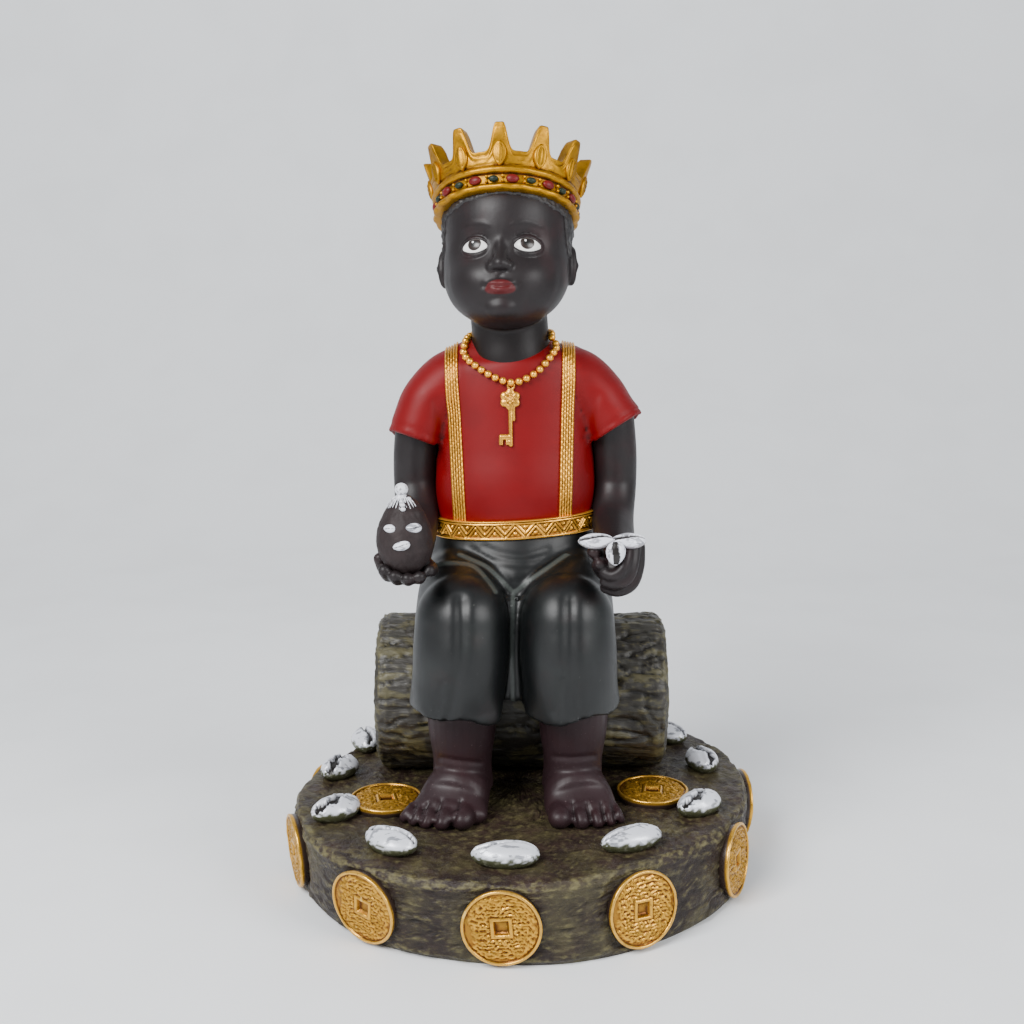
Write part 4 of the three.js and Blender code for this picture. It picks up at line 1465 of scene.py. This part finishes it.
class FIGURE_OT_arms(bpy.types.Operator):
    """Adds the bare arms: one hand cupped under the small head, the other a loose fist"""

    bl_idname = "figure.arms"
    bl_label = "Arms and hands"

    def execute(self, context):
        paint = skin_paint("arm_paint")
        form = bmesh.new()
        limb(form, mirrored(ARM), sides=36)
        limb(form, CUPPED_PALM)
        limb(form, CUPPED_THUMB, sides=20)
        for tip, root in CUPPED_FINGERS:
            middle = [(a * 0.6 + b * 0.4) for a, b in zip(tip, root)]
            middle[2] = min(tip[2], root[2]) - 0.5
            limb(form, [(*root, 2.4, 2.2), (*middle, 2.35, 2.1), (*tip, 2.25, 2.15)], sides=20)
        add_piece("right_arm", fused(form, HAND_VOXEL, 2), paint)
        form = bmesh.new()
        limb(form, ARM, sides=36)
        limb(form, FIST_PALM)
        for k, path in enumerate(FIST_FINGERS):
            limb(form, [(*at, 2.25 - 0.15 * k, 2.1) for at in path], side=Y, sides=20, between=6)
        for stations in FIST_THUMBS:
            limb(form, stations, sides=20)
        add_piece("left_arm", fused(form, HAND_VOXEL, 2), paint)
        return {"FINISHED"}


# THE SMALL EGG-SHAPED HEAD


def egg_girth(share):
    """The egg's radius at a share of its height."""
    return EGG["radius"] * np.sin(pi * share**0.9) ** 0.55 * (1.04 - 0.17 * share)


def on_egg(x, z, out=0.0):
    """The place on the egg's front over a point of its picture."""
    share = (z - EGG["bottom"]) / EGG["height"]
    girth = float(egg_girth(np.array(share)))
    reach = min(abs(x - EGG["x"]) / girth, 0.98)
    return Vector((x, EGG["y"] - girth * (1 - reach**2) ** 0.5 - out, z))


def egg_paint():
    """Matt brown-black, pitted, paler where it is rubbed, with painted shade in its pits."""
    colour = srgb(34, 25, 25)
    paint = Paint("egg_paint", colour, 0.6, shine=0.3)
    paint.mottle(shade(colour, 1.5), (4, 5), 0.45, 0.7, 0.6)
    # Painted shade in the pits.
    paint.lay(shade(colour, 0.4), paint.edges(0.49, 0.44), 0.8)
    paint.rough(paint.grain(0.5, 5), 0.14, 0.9)
    return paint


def knot_paint():
    """White that shows grey and dark between its strokes."""
    paint = Paint("knot_paint", srgb(220, 222, 228), 0.4)
    paint.mottle(srgb(120, 116, 122), (1.1, 4), 0.5, 0.66, 0.8)
    paint.mottle(srgb(50, 46, 48), (0.8, 3), 0.62, 0.7, 0.8)
    paint.rough(paint.grain(0.3, 4), 0.05, 0.6)
    return paint


# The shells on the small head: x and z of each one's middle, its half sizes, its turn and its seed.
SMALL_SHELLS = (
    (-44.4, 142.5, (2.3, 1.45, 1.4), 0, 0),
    (-36.2, 142.8, (2.9, 1.65, 1.5), -4, 1),
    (-40.3, 137.0, (3.0, 1.65, 1.5), 12, 2),
)
# The knot's foot, the drops in front of it as x and z, and each white line's stations: how far out
# they are, their share of the egg's height and their thickness.
KNOT_AT = Vector((-40.8, EGG["y"] - 0.3, 152.8))
KNOT_DROPS = ((-40.4, 151.2), (-40.1, 150.2), (-39.9, 149.0))
KNOT_LINES = 26
KNOT_LINE = ((1.6, 0.995, 0.34), (3.6, 0.965, 0.3), (5.0, 0.925, 0.26), (6.4, 0.865, 0.14))


class FIGURE_OT_egg(bpy.types.Operator):
    """Adds the small egg-shaped head with its shell eyes, shell mouth and knot"""

    bl_idname = "figure.egg"
    bl_label = "Small head"

    def execute(self, context):
        shares = 0.5 - 0.5 * np.cos(np.linspace(0, pi, 76))
        profile = [(float(egg_girth(s)) if 0 < s < 1 else 0.0, EGG["height"] * float(s)) for s in shares]
        mesh = meshed(turned(profile, 104))
        mesh.transform(Matrix.Translation((EGG["x"], EGG["y"], EGG["bottom"])))

        def pit(points, normals):
            relief = 0.22 * lumps(points, 2.2) + 0.14 * lumps(points, 1.0, 1) + 0.25 * lumps(points, 6, 2)
            return points + normals * relief[:, None]

        reshape(mesh, pit)
        add_piece("small_head", mesh, egg_paint())
        self.face()
        self.knot()
        return {"FINISHED"}

    def face(self):
        """Two small cowries for eyes and one for a mouth."""
        shells = []
        for x, z, halves, spin, seed in SMALL_SHELLS:
            mesh, marks = cowrie(halves, seed, 0.35, 0, 32, 26, pointed=0)
            facing = on_egg(x, z) - Vector((EGG["x"], EGG["y"], z - 1.5))
            place = facing.to_track_quat("Z", "Y").to_matrix().to_4x4()
            place = Matrix.Translation(on_egg(x, z, -0.35)) @ place @ Matrix.Rotation(radians(spin), 4, "Z")
            mesh.transform(place)
            shells.append((mesh, marks))
        paint = shell_paint("small_shell_paint", (40, 34, 34), 0)
        add_piece("small_head_shells", gathered(shells), paint)

    def knot(self):
        """The knot on top, with white lines that run down from it."""
        form = bmesh.new()
        ball(form, KNOT_AT + Z * 2.1, (2.35, 2.3, 2.2), steps=36)
        stem = [(-1.5, 2.4), (0, 1.5), (1.5, 1.5)]
        limb(form, [(*(KNOT_AT + Z * up), wide, wide) for up, wide in stem], sides=24)
        for x, z in KNOT_DROPS:
            ball(form, on_egg(x, z, 0.5), (0.95, 0.7, 0.75), steps=16)
        for k in range(KNOT_LINES):
            turn = TURN * (k + 0.5) / KNOT_LINES
            line = []
            for reach, height, thick in KNOT_LINE:
                girth = float(egg_girth(np.array(height)))
                across = Vector((sin(turn), -cos(turn), 0)) * min(girth * 1.01, reach + 0.4 * sin(3 * k))
                share = height + 0.012 * sin(5 * k) * (reach > 4)
                middle = Vector((EGG["x"] - 0.5, EGG["y"], EGG["bottom"] + EGG["height"] * share))
                line.append((*(middle + across), thick, thick))
            limb(form, line, side=Vector((cos(turn), sin(turn), 0)), sides=8, between=3)
        add_piece("small_head_knot", meshed(form), knot_paint())


# The shells on the fist: each one's middle, its half sizes, the way its slot faces, its turn and its
# seed, how wide its slot is and how pointed its ends are.
HELD_SHELLS = (
    ((26.6, -44.0, 136.8), (6.5, 3.2, 2.4), (-0.12, -0.5, 0.86), 186, 0, 1.6, 0.45),
    ((37.7, -44.0, 136.9), (6.3, 3.1, 2.4), (0.12, -0.5, 0.86), -6, 3, 1.6, 0.45),
    ((33.0, -47.4, 133.3), (4.3, 3.4, 2.4), (0, -1, 0.1), 86, 5, 2.8, 0.15),
)


class FIGURE_OT_held_shells(bpy.types.Operator):
    """Adds the three cowries on the fist"""

    bl_idname = "figure.held_shells"
    bl_label = "Held shells"

    def execute(self, context):
        shells = []
        for centre, halves, facing, spin, seed, slot, pointed in HELD_SHELLS:
            mesh, marks = cowrie(halves, seed, slot, pointed=pointed, toothed=0.4)
            place = Vector(facing).to_track_quat("Z", "Y").to_matrix().to_4x4()
            mesh.transform(Matrix.Translation(centre) @ place @ Matrix.Rotation(radians(spin), 4, "Z"))
            shells.append((mesh, marks))
        add_piece("held_cowries", gathered(shells), shell_paint("held_shell_paint", (150, 146, 150), 0.1))
        return {"FINISHED"}


# HEAD


def skull(form, grow=0.0, sides=64):
    """The skull in the head's frame, grown by a distance."""
    rings = smooth_path(SKULL, 5)
    matrices = []
    for z, wide, front, back in rings:
        deep = max((back - front) / 2 + grow, 0.4)
        wide = max(wide + grow, 0.4)
        matrices.append(half_axes((0, (front + back) / 2, z), X * wide, Y * deep, Z))
    loft(form, matrices, sides)


EYE_HALVES = (5.5, 4.9, 5.1)
EYE_DEPTH = -16.9
EYE_TURN = 0.36
IRIS_RISE = 0.9
IRIS_RADIUS = 2.45
PUPIL_RADIUS = 1.15
GLINT_RADIUS = 0.4


def eye_front(outward, up):
    """How far forward the eyeball's front is, at an offset from its middle; its outer side lies deeper."""
    rest = 1 - (outward / EYE_HALVES[0]) ** 2 - (up / EYE_HALVES[2]) ** 2
    return EYE_DEPTH + EYE_TURN * outward - EYE_HALVES[1] * np.sqrt(np.clip(rest, 0, 1))


def eye_opening(across, up):
    """How far the lids are open above or below the eye's middle, at an offset from it."""
    arch = np.clip(1 - (across / 4.75) ** 2, 0, 1) ** 0.75
    return np.where(up > 0, 2.6 * arch, 2.2 * arch)


def to_head(points):
    """Points in the head's frame."""
    return frame_points(points, HEAD_FRAME.inverted())


def head_paint():
    """The skin with the lips' red, the brows and a painted shadow on the neck under the chin."""
    paint = skin_paint("head_paint")
    # Painted shadow: the neck under the chin is laid nearly black.
    paint.lay(srgb(16, 10, 10), paint.marked("neck"), 0.85)
    paint.lay(tuple(paints().lips), paint.mask(paint.marked("lips"), -0.06, 0.1))
    paint.lay(srgb(20, 16, 17), paint.marked("brow"), 0.5)
    return paint


class FIGURE_OT_head(bpy.types.Operator):
    """Adds the neck and a plain child's head in doll's proportions"""

    bl_idname = "figure.head"
    bl_label = "Head"

    def execute(self, context):
        form = bmesh.new()
        skull(form)
        for side in (-1, 1):
            ball(form, (side * 23.6, 3, -3), (2.2, 4.6, 7.6), (0, 0, side * 22))
            ball(form, (side * 2.8, -23.0, -9.3), (2.1, 2.3, 1.9), steps=20)
            ball(form, (side * 2.1, -22.8, -15.8), (3.3, 1.8, 1.1), (0, side * 8, side * 6), steps=20)
        nose = [(0, -21.8, 0.5, 1.8, 1.6), (0, -22.9, -4.5, 2.2, 2.2), (0, -24.0, -8.4, 2.9, 2.8)]
        limb(form, nose, sides=24)
        ball(form, (0, -22.6, -17.9), (4.3, 2.0, 1.35), steps=24)
        ball(form, (0, -18.6, -23.2), (6.5, 4.6, 4.2))
        for vert in form.verts:
            vert.co = HEAD_FRAME @ vert.co
        limb(form, NECK, sides=48, rounded=(False, False))
        mesh = fused(form, 0.65, 8)
        reshape(mesh, self.face)
        points = points_of(mesh)
        # The neck under the chin is marked for a painted shadow.
        neck = np.hypot((points[:, 0] + 3.8) / 15, (points[:, 1] - 9) / 13.8)
        mark(mesh, "neck", smoothstep(neck, 1.25, 1.05) * smoothstep(points[:, 2], 217, 209))
        local = to_head(points)
        lips = np.hypot(local[:, 0] / 5.5, (local[:, 2] + 16.9 + 0.02 * local[:, 0] ** 2) / 2.6)
        mark(mesh, "lips", np.where(local[:, 1] < -18, 1 - lips, -1))
        mark(mesh, "brow", self.brow_line(local))
        add_piece("head", mesh, head_paint())
        return {"FINISHED"}

    def brow_line(self, local):
        """1 along the two brows."""
        across = np.abs(local[:, 0])
        height = EYE_HEIGHT + 6.9 + 1.5 * np.sin((across - 3.5) / 12 * pi)
        thick = 0.75 * smoothstep(across, 3.2, 5.5) * smoothstep(across, 15.6, 11)
        line = smoothstep(np.abs(local[:, 2] - height), 0.5 + thick, 0.1 + thick * 0.6)
        return line * smoothstep(across, 2.8, 4.2) * smoothstep(across, 15.6, 14) * (local[:, 1] < -12)

    def face(self, points, normals):
        """Eye openings with lids, the line of the mouth, the ears' hollows and the groove over the lip."""
        local = to_head(points)
        front = smoothstep(local[:, 1], -11, -14)
        push = np.zeros(len(points))
        for side in (-1, 1):
            across, up = local[:, 0] - side * EYE_APART, local[:, 2] - EYE_HEIGHT
            socket = np.exp(-((across / 6.4) ** 2) - ((up - 1) / 5.6) ** 2)
            cheek = np.exp(-(((local[:, 0] - side * 11.5) / 8) ** 2) - ((local[:, 2] + 12.5) / 7) ** 2)
            push += (2.0 * socket - 1.5 * cheek) * front
        muzzle = np.exp(-((local[:, 0] / 8) ** 2) - ((local[:, 2] + 16.5) / 5) ** 2)
        brow = np.exp(-((np.abs(local[:, 0]) - 8) / 7) ** 2 - ((local[:, 2] - EYE_HEIGHT - 6.5) / 3.2) ** 2)
        push -= (0.8 * muzzle + 0.5 * brow) * front
        y = local[:, 1] + push
        for side in (-1, 1):
            across, up = local[:, 0] - side * EYE_APART, local[:, 2] - EYE_HEIGHT
            reach = np.hypot(across / 6.6, up / 6.0)
            cover = eye_front(across * side, up) - 0.7
            blend = smoothstep(reach, 1.0, 0.72) * front
            y = y + (np.minimum(y, cover) - y) * blend
            opening = eye_opening(across, up)
            inside = smoothstep(np.abs(up), opening + 1.1, opening - 0.7) * smoothstep(opening, 0, 1)
            y = y + 1.6 * inside * front * smoothstep(reach, 1.0, 0.8)
            crease = np.exp(-(((up - opening - 1.9) / 0.6) ** 2)) * smoothstep(opening, 0.4, 1.4)
            y = y + 0.45 * crease * front * smoothstep(reach, 1.15, 0.9)
        x, _, z = local.T
        mouth = np.exp(-(((z + 16.75 - 0.02 * x**2 + 0.2 * np.cos(x * 1.1)) / 0.5) ** 2))
        y = y + 0.9 * mouth * smoothstep(np.abs(x), 6.0, 4.4) * front
        y = y + 0.4 * near(np.stack([x, z], axis=1), (0, -13.2), (0.9, 1.2)) * front
        for side in (-1, 1):
            y = y + 0.5 * near(np.stack([x, z], axis=1), (side * 1.8, -11.2), (0.9, 0.6)) * front
            y = y + 0.5 * near(np.stack([x, z], axis=1), (side * 6.0, -16.2), (0.9, 1.0)) * front
            hollow = near(local[:, 1:], (2.4, -3), (2.2, 4)) * (side * x > 22)
            local[:, 0] -= side * 1.2 * hollow
            fold = near(local[:, 1:], (0.8, -3.6), (0.9, 1.6)) * (side * x > 22)
            local[:, 0] += side * 0.9 * fold
        y = y - 0.2 * self.brow_line(local)
        local[:, 1] = y
        return under_crown(frame_points(local, HEAD_FRAME))


def eye_paint():
    """White, a dark iris and pupil and a small glint, over skin where the lids cover the ball."""
    paint = Paint("eye_paint", tuple(paints().skin), 0.3, coat=0.2)
    white, iris, pupil, glint = (
        paint.mask(paint.marked(name), -0.08, 0.08) for name in ("white", "iris", "pupil", "glint")
    )
    paint.lay(srgb(232, 230, 226), white)
    paint.lay(srgb(200, 190, 186), paint.both(white, paint.mask(paint.grain(2, 4), 0.55, 0.75)), 0.4)
    paint.lay(srgb(34, 24, 20), iris)
    paint.lay(srgb(10, 8, 8), paint.both(iris, pupil))
    paint.lay(srgb(240, 240, 240), paint.both(iris, glint))
    paint.rough(paint.grain(0.8), 0.02, 0.3)
    return paint


class FIGURE_OT_eyes(bpy.types.Operator):
    """Adds the eyes, turned up a little"""

    bl_idname = "figure.eyes"
    bl_label = "Eyes"

    def execute(self, context):
        form = bmesh.new()
        for side in (-1, 1):
            ball(form, (side * EYE_APART, EYE_DEPTH, EYE_HEIGHT), EYE_HALVES, (90, 0, 0), steps=64)
        mesh = meshed(form)
        local = points_of(mesh)
        front = local[:, 1] < EYE_DEPTH
        across = np.abs(local[:, 0]) - EYE_APART
        up = local[:, 2] - EYE_HEIGHT
        opening = eye_opening(across, up)
        from_iris = np.hypot(across, up - IRIS_RISE)
        from_glint = np.hypot(local[:, 0] - np.sign(local[:, 0]) * EYE_APART + 0.6, up - 1.6)
        white = np.where(front, opening - np.abs(up), -1)
        mark(mesh, "white", white)
        mark(mesh, "iris", np.minimum(IRIS_RADIUS - from_iris, white))
        mark(mesh, "pupil", PUPIL_RADIUS - from_iris)
        mark(mesh, "glint", GLINT_RADIUS - from_glint)
        local[:, 1] += EYE_TURN * across
        reshape(mesh, lambda points, normals: frame_points(local, HEAD_FRAME))
        add_piece("eyes", mesh, eye_paint())
        return {"FINISHED"}


def hair_paint():
    """Nearly black curls, with a painted highlight on their tops and painted shade between them."""
    paint = Paint("hair_paint", srgb(26, 23, 24), 0.5)
    # A painted highlight on the curls' tops.
    paint.lay(srgb(46, 42, 41), paint.edges(0.52, 0.62), 0.7)
    # Painted shade between the curls.
    paint.lay(srgb(8, 7, 7), paint.edges(0.49, 0.42), 0.9)
    paint.mottle(srgb(44, 36, 34), (3, 3), 0.5, 0.7, 0.4)
    paint.rough(paint.grain(0.35, 4), 0.08, 0.8)
    return paint


# How low the hair grows at each depth of the head, from the front of the temples to the nape.
HAIRLINE_DEPTHS = (-9, -6, -4.2, -1.2, 1, 6, 12, 24)
HAIRLINE_HEIGHTS = (11, 4, -1, -1.5, 7, 8, -8, -15)


class FIGURE_OT_hair(bpy.types.Operator):
    """Adds the short tight curls under the crown, before the ears and behind the head"""

    bl_idname = "figure.hair"
    bl_label = "Hair"

    def execute(self, context):
        form = bmesh.new()
        skull(form, 0.5, 72)
        mesh = fused(form, 0.8, 3)

        def curl(points, normals):
            x, y, z = points.T
            front = 16.6 - 0.010 * x**2
            side = np.interp(y, HAIRLINE_DEPTHS, HAIRLINE_HEIGHTS)
            line = np.where(y < HAIRLINE_DEPTHS[0], front, side)
            grown = smoothstep(z - line - 0.5 * lumps(points, 1.6, 3), -0.5, 0.3)
            curls = np.abs(lumps(points, 1.25, 1)) * 0.8 + 0.3 * lumps(points, 2.6, 2)
            move = -2.4 + grown * (2.2 + curls)
            return points + normals * move[:, None]

        reshape(mesh, curl)
        mesh.transform(HEAD_FRAME)
        reshape(mesh, lambda points, normals: under_crown(points))
        add_piece("hair", mesh, hair_paint())
        return {"FINISHED"}


# CROWN

CROWN_WALL = 4.6
CROWN_FLARE = 4.8
BAND_TOP = 8.6
VALLEY = 14


def crown_paint():
    """Matte gold with brown in its hollows."""
    return gold_paint("crown_paint", paints().crown, 0.85, 0.42, 1.0)


def gem_paint(name, colour):
    """A painted gem, mottled darker and brighter."""
    paint = Paint(name, colour, 0.45, shine=0.3)
    paint.mottle(shade(colour, 0.35), (2, 3), 0.45, 0.7, 0.6)
    paint.mottle(shade(colour, 1.7), (1.1, 3), 0.62, 0.75, 0.4)
    paint.rough(paint.grain(0.9, 3), 0.03, 0.4)
    return paint


# The gems of the band: each kind's name, colour, first turn and half sizes; then the beads between
# them: the turns after each gem, the heights and the half size.
GEMS = (
    ("crown_green_gems", (24, 38, 24), -5, (1.8, 1.1, 1.15)),
    ("crown_red_gems", (98, 10, 12), 10, (2.4, 1.2, 1.6)),
)
GEM_HEIGHT = 4.0
CROWN_BEAD_TURNS = (2.2, 19.5)
CROWN_BEAD_HEIGHTS = (4.9, 3.1)
CROWN_BEAD = (0.6, 0.8, 0.6)
# The leaf under each point: its half width and half height, its middle over the band's foot, how far
# it stands out from the band and its lean in degrees.
LEAF_HALF_WIDTH = 2.6
LEAF_HALF_HEIGHT = 4.5
LEAF_HEIGHT = 12.9
LEAF_OUT = 1.7
LEAF_LEAN = 14


class FIGURE_OT_crown(bpy.types.Operator):
    """Adds the crown with its band of gems, its twelve points and the leaf under each"""

    bl_idname = "figure.crown"
    bl_label = "Crown"

    def execute(self, context):
        gold = crown_paint()
        add_piece("crown", self.ring(), gold)
        add_piece("crown_leaves", self.leaves(), gold)
        add_piece("crown_beads", self.beads(), gold)
        for name, levels, first, halves in GEMS:
            form = bmesh.new()
            for k in range(CROWN_POINTS):
                turn = radians(first) + TURN * k / CROWN_POINTS
                self.stud(form, turn, GEM_HEIGHT, halves, 20)
            mesh = meshed(form)
            mesh.transform(CROWN_FRAME)
            add_piece(name, mesh, gem_paint(name + "_paint", srgb(*levels)))
        return {"FINISHED"}

    def stud(self, form, turn, height, halves, steps):
        """A domed stud on the crown's gem band."""
        radius = millimetres("crown_radius") - 0.2
        at = (radius * sin(turn), -radius * cos(turn), height)
        ball(form, at, halves, (0, 0, turn * 180 / pi), steps=steps)

    def ring(self):
        """The band, its mouldings and the points."""
        radius, height = millimetres("crown_radius"), millimetres("crown_height")
        band = [(-CROWN_WALL + 0.6, 0), (-0.6, 0), (0.35, 0.4), (0.6, 1.1), (0.2, 1.9), (-0.7, 2.1)]
        band += [(-0.7, 6.1), (0.3, 6.3), (1.0, 6.8), (1.15, 7.4), (0.9, 8.1), (0.4, BAND_TOP)]
        wall = [(0.5, height - 1.0), (0.3, height - 0.3), (-0.4, height)]
        inner = [(0.7, height), (0.15, height - 0.6), (0, height - 1.6), (0, 4), (0, 0.6)]
        inner = [(out - CROWN_WALL, up) for out, up in inner]
        corners = [(radius + out, up) for out, up in band + wall + inner]
        profile = outline(corners + [corners[0]], 0.66)[:-1]
        mesh = meshed(turned(profile, 348, closed=True))

        def cut(points, normals):
            turn = np.arctan2(points[:, 0], -points[:, 1])
            reach = np.hypot(points[:, 0], points[:, 1]) - radius
            up = points[:, 2]
            from_tip = np.abs((turn / TURN * CROWN_POINTS + 0.5) % 1 - 0.5) * 2
            point = np.minimum(1.2 * (0.5 + 0.5 * np.cos(pi * from_tip)) ** 3.4, 1)
            top = VALLEY + (height - VALLEY) * np.sin(pi / 2 * point)
            share = np.clip((up - BAND_TOP) / (height - BAND_TOP), 0, 1)
            risen = np.where(up > BAND_TOP, BAND_TOP + share * (top - BAND_TOP), up)
            gone = np.clip((risen - BAND_TOP) / (height - BAND_TOP), 0, 1.1)
            reach = reach + CROWN_FLARE * gone**1.25
            wave = 0.25 * np.sin(CROWN_POINTS * 2 * turn + 1) * smoothstep(up, 2.4, 1.2)
            reach = reach + wave * (reach > -2)
            edge = np.exp(-(((top - risen - 1.5) / 0.45) ** 2)) * (reach > -1.5) * (up > BAND_TOP)
            reach = reach - 0.25 * edge
            line = np.exp(-(((risen - 9.3) / 0.35) ** 2)) * (reach > -1.5)
            reach = reach - 0.3 * line
            rough = 0.12 * lumps(points, 1.5) + 0.22 * lumps(points, 5, 2)
            out = radius + reach + rough
            return np.stack([out * np.sin(turn), -out * np.cos(turn), risen], axis=1)

        reshape(mesh, cut)
        mesh.transform(CROWN_FRAME)
        return mesh

    def leaves(self):
        """A pointed leaf with a rim and a middle rib under each of the crown's points."""
        form = bmesh.new()
        bmesh.ops.create_uvsphere(form, u_segments=28, v_segments=24, radius=1)
        mesh = meshed(form)

        def press(points, normals):
            x, y, z = points.T
            across = x * (1 - 0.42 * np.abs(z) ** 2.2)
            reach = np.hypot(across / 0.95, z)
            rim = smoothstep(np.abs(reach - 0.86), 0.12, 0.03) * (y < 0)
            rib = smoothstep(np.abs(across), 0.13, 0.04) * smoothstep(np.abs(z), 0.85, 0.6) * (y < 0)
            vein = 0.5 + 0.5 * np.sin((z - np.abs(across) * 0.9) * 16)
            depth = y * 1.1 - 0.3 * rim - 0.36 * rib - 0.12 * vein * (y < 0) * (reach < 0.75)
            return np.stack([across * LEAF_HALF_WIDTH, depth, z * LEAF_HALF_HEIGHT], axis=1)

        reshape(mesh, press)
        out = Matrix.Translation((0, -millimetres("crown_radius") - LEAF_OUT, LEAF_HEIGHT))
        lean = Matrix.Rotation(radians(LEAF_LEAN), 4, "X")
        copies = []
        for k in range(CROWN_POINTS):
            leaf = mesh.copy()
            leaf.transform(CROWN_FRAME @ Matrix.Rotation(TURN * k / CROWN_POINTS, 4, "Z") @ out @ lean)
            copies.append((leaf, {}))
        return gathered(copies)

    def beads(self):
        """Small beads in pairs between the gems."""
        form = bmesh.new()
        for k in range(CROWN_POINTS):
            for degrees in CROWN_BEAD_TURNS:
                turn = radians(degrees) + TURN * k / CROWN_POINTS
                for height in CROWN_BEAD_HEIGHTS:
                    self.stud(form, turn, height, CROWN_BEAD, 12)
        mesh = meshed(form)
        mesh.transform(CROWN_FRAME)
        return mesh


# STAGE


# The floor in metres: where it begins before the figure, where it bends up behind, the bend's radius,
# the backdrop's height and half the width of it all.
FLOOR_FRONT = -2.2
FLOOR_BACK = 0.45
BEND_RADIUS = 0.5
BACKDROP_HEIGHT = 3.2
FLOOR_HALF_WIDTH = 3
LIGHTS_AIM = (0, 0, 0.14)
KEY_LIGHT_AT = (-0.6, -0.7, 0.85)
KEY_LIGHT_SIZE = 0.55
FILL_LIGHT_AT = (0.8, -0.6, 0.6)
FILL_LIGHT_SIZE = 0.5
SKY_COLOUR = (0.93, 0.96, 1, 1)
SKY_STRENGTH = 0.5
SENSOR_WIDTH = 36


def floor_paint(colour):
    """Matt and pale, very faintly uneven."""
    paint = Paint("floor_paint", colour, 0.85)
    paint.mottle(shade(colour, 0.97), (60, 2), 0.4, 0.7)
    return paint


class FIGURE_OT_stage(bpy.types.Operator):
    """Adds the pale floor with its curved backdrop, the soft lights and the camera"""

    bl_idname = "figure.stage"
    bl_label = "Stage"

    def execute(self, context):
        look = context.scene.stage_look
        self.floor(tuple(look.floor))
        self.light("key_light", look.key, KEY_LIGHT_SIZE, KEY_LIGHT_AT)
        self.light("fill_light", look.fill, FILL_LIGHT_SIZE, FILL_LIGHT_AT)
        world = bpy.data.worlds.new("studio")
        world.use_nodes = True
        back = world.node_tree.nodes["Background"]
        back.inputs["Color"].default_value = SKY_COLOUR
        back.inputs["Strength"].default_value = SKY_STRENGTH
        context.scene.world = world
        camera = bpy.data.objects.new("camera", bpy.data.cameras.new("camera"))
        camera.data.sensor_width = SENSOR_WIDTH
        camera.data.lens = SENSOR_WIDTH * FOCAL_PIXELS / PHOTO_SIZE
        camera.location = Vector(CAMERA_AT) * MM
        camera.rotation_euler = (radians(90 - CAMERA_PITCH), 0, 0)
        context.scene.collection.objects.link(camera)
        context.scene.camera = camera
        return {"FINISHED"}

    def floor(self, colour):
        """The floor, which bends up into a backdrop far behind the figure."""
        form = bmesh.new()
        line = [(FLOOR_FRONT, 0), (FLOOR_BACK, 0)]
        for turn in np.linspace(0.08, pi / 2, 18):
            line.append((FLOOR_BACK + BEND_RADIUS * sin(turn), BEND_RADIUS * (1 - cos(turn))))
        line.append((FLOOR_BACK + BEND_RADIUS, BACKDROP_HEIGHT))
        verts = [form.verts.new((-FLOOR_HALF_WIDTH, y, z)) for y, z in line]
        edges = [form.edges.new(pair) for pair in zip(verts, verts[1:])]
        made = bmesh.ops.extrude_edge_only(form, edges=edges)["geom"]
        moved = [item for item in made if isinstance(item, bmesh.types.BMVert)]
        bmesh.ops.translate(form, verts=moved, vec=(2 * FLOOR_HALF_WIDTH, 0, 0))
        mesh = meshed(form)
        mesh.name = "floor"
        mesh.shade_smooth()
        mesh.materials.append(floor_paint(colour).material)
        floor = bpy.data.objects.new("floor", mesh)
        bpy.context.scene.collection.objects.link(floor)

    def light(self, name, power, size, at):
        """A square soft light that faces the figure."""
        lamp = bpy.data.lights.new(name, "AREA")
        lamp.energy = power
        lamp.size = size
        light = bpy.data.objects.new(name, lamp)
        light.location = at
        light.rotation_euler = (Vector(LIGHTS_AIM) - light.location).to_track_quat("-Z", "Y").to_euler()
        bpy.context.scene.collection.objects.link(light)


OPERATORS = (
    FIGURE_OT_plinth,
    FIGURE_OT_coins,
    FIGURE_OT_cowries,
    FIGURE_OT_log,
    FIGURE_OT_trousers,
    FIGURE_OT_feet,
    FIGURE_OT_shirt,
    FIGURE_OT_braces,
    FIGURE_OT_belt,
    FIGURE_OT_necklace,
    FIGURE_OT_arms,
    FIGURE_OT_egg,
    FIGURE_OT_held_shells,
    FIGURE_OT_head,
    FIGURE_OT_eyes,
    FIGURE_OT_hair,
    FIGURE_OT_crown,
    FIGURE_OT_stage,
)


class FIGURE_PT_panel(bpy.types.Panel):
    """Lists the pieces in the 3D view's sidebar"""

    bl_idname = "FIGURE_PT_panel"
    bl_label = "Seated figure"
    bl_space_type = "VIEW_3D"
    bl_region_type = "UI"
    bl_category = "Figure"

    def draw(self, context):
        for operator in OPERATORS:
            self.layout.operator(operator.bl_idname)
        for group in (context.scene.figure_sizes, context.scene.figure_paints, context.scene.stage_look):
            for name in group.__annotations__:
                self.layout.prop(group, name)


CLASSES = (FigureSizes, FigurePaints, StageLook, *OPERATORS, FIGURE_PT_panel)


def register():
    for cls in CLASSES:
        bpy.utils.register_class(cls)
    bpy.types.Scene.figure_sizes = PointerProperty(type=FigureSizes)
    bpy.types.Scene.figure_paints = PointerProperty(type=FigurePaints)
    bpy.types.Scene.stage_look = PointerProperty(type=StageLook)


def unregister():
    del bpy.types.Scene.figure_sizes
    del bpy.types.Scene.figure_paints
    del bpy.types.Scene.stage_look
    for cls in reversed(CLASSES):
        bpy.utils.unregister_class(cls)


def main():
    """Builds every piece and the stage."""
    register()
    for operator in OPERATORS:
        group, name = operator.bl_idname.split(".")
        getattr(getattr(bpy.ops, group), name)()


if __name__ == "__main__":
    main()
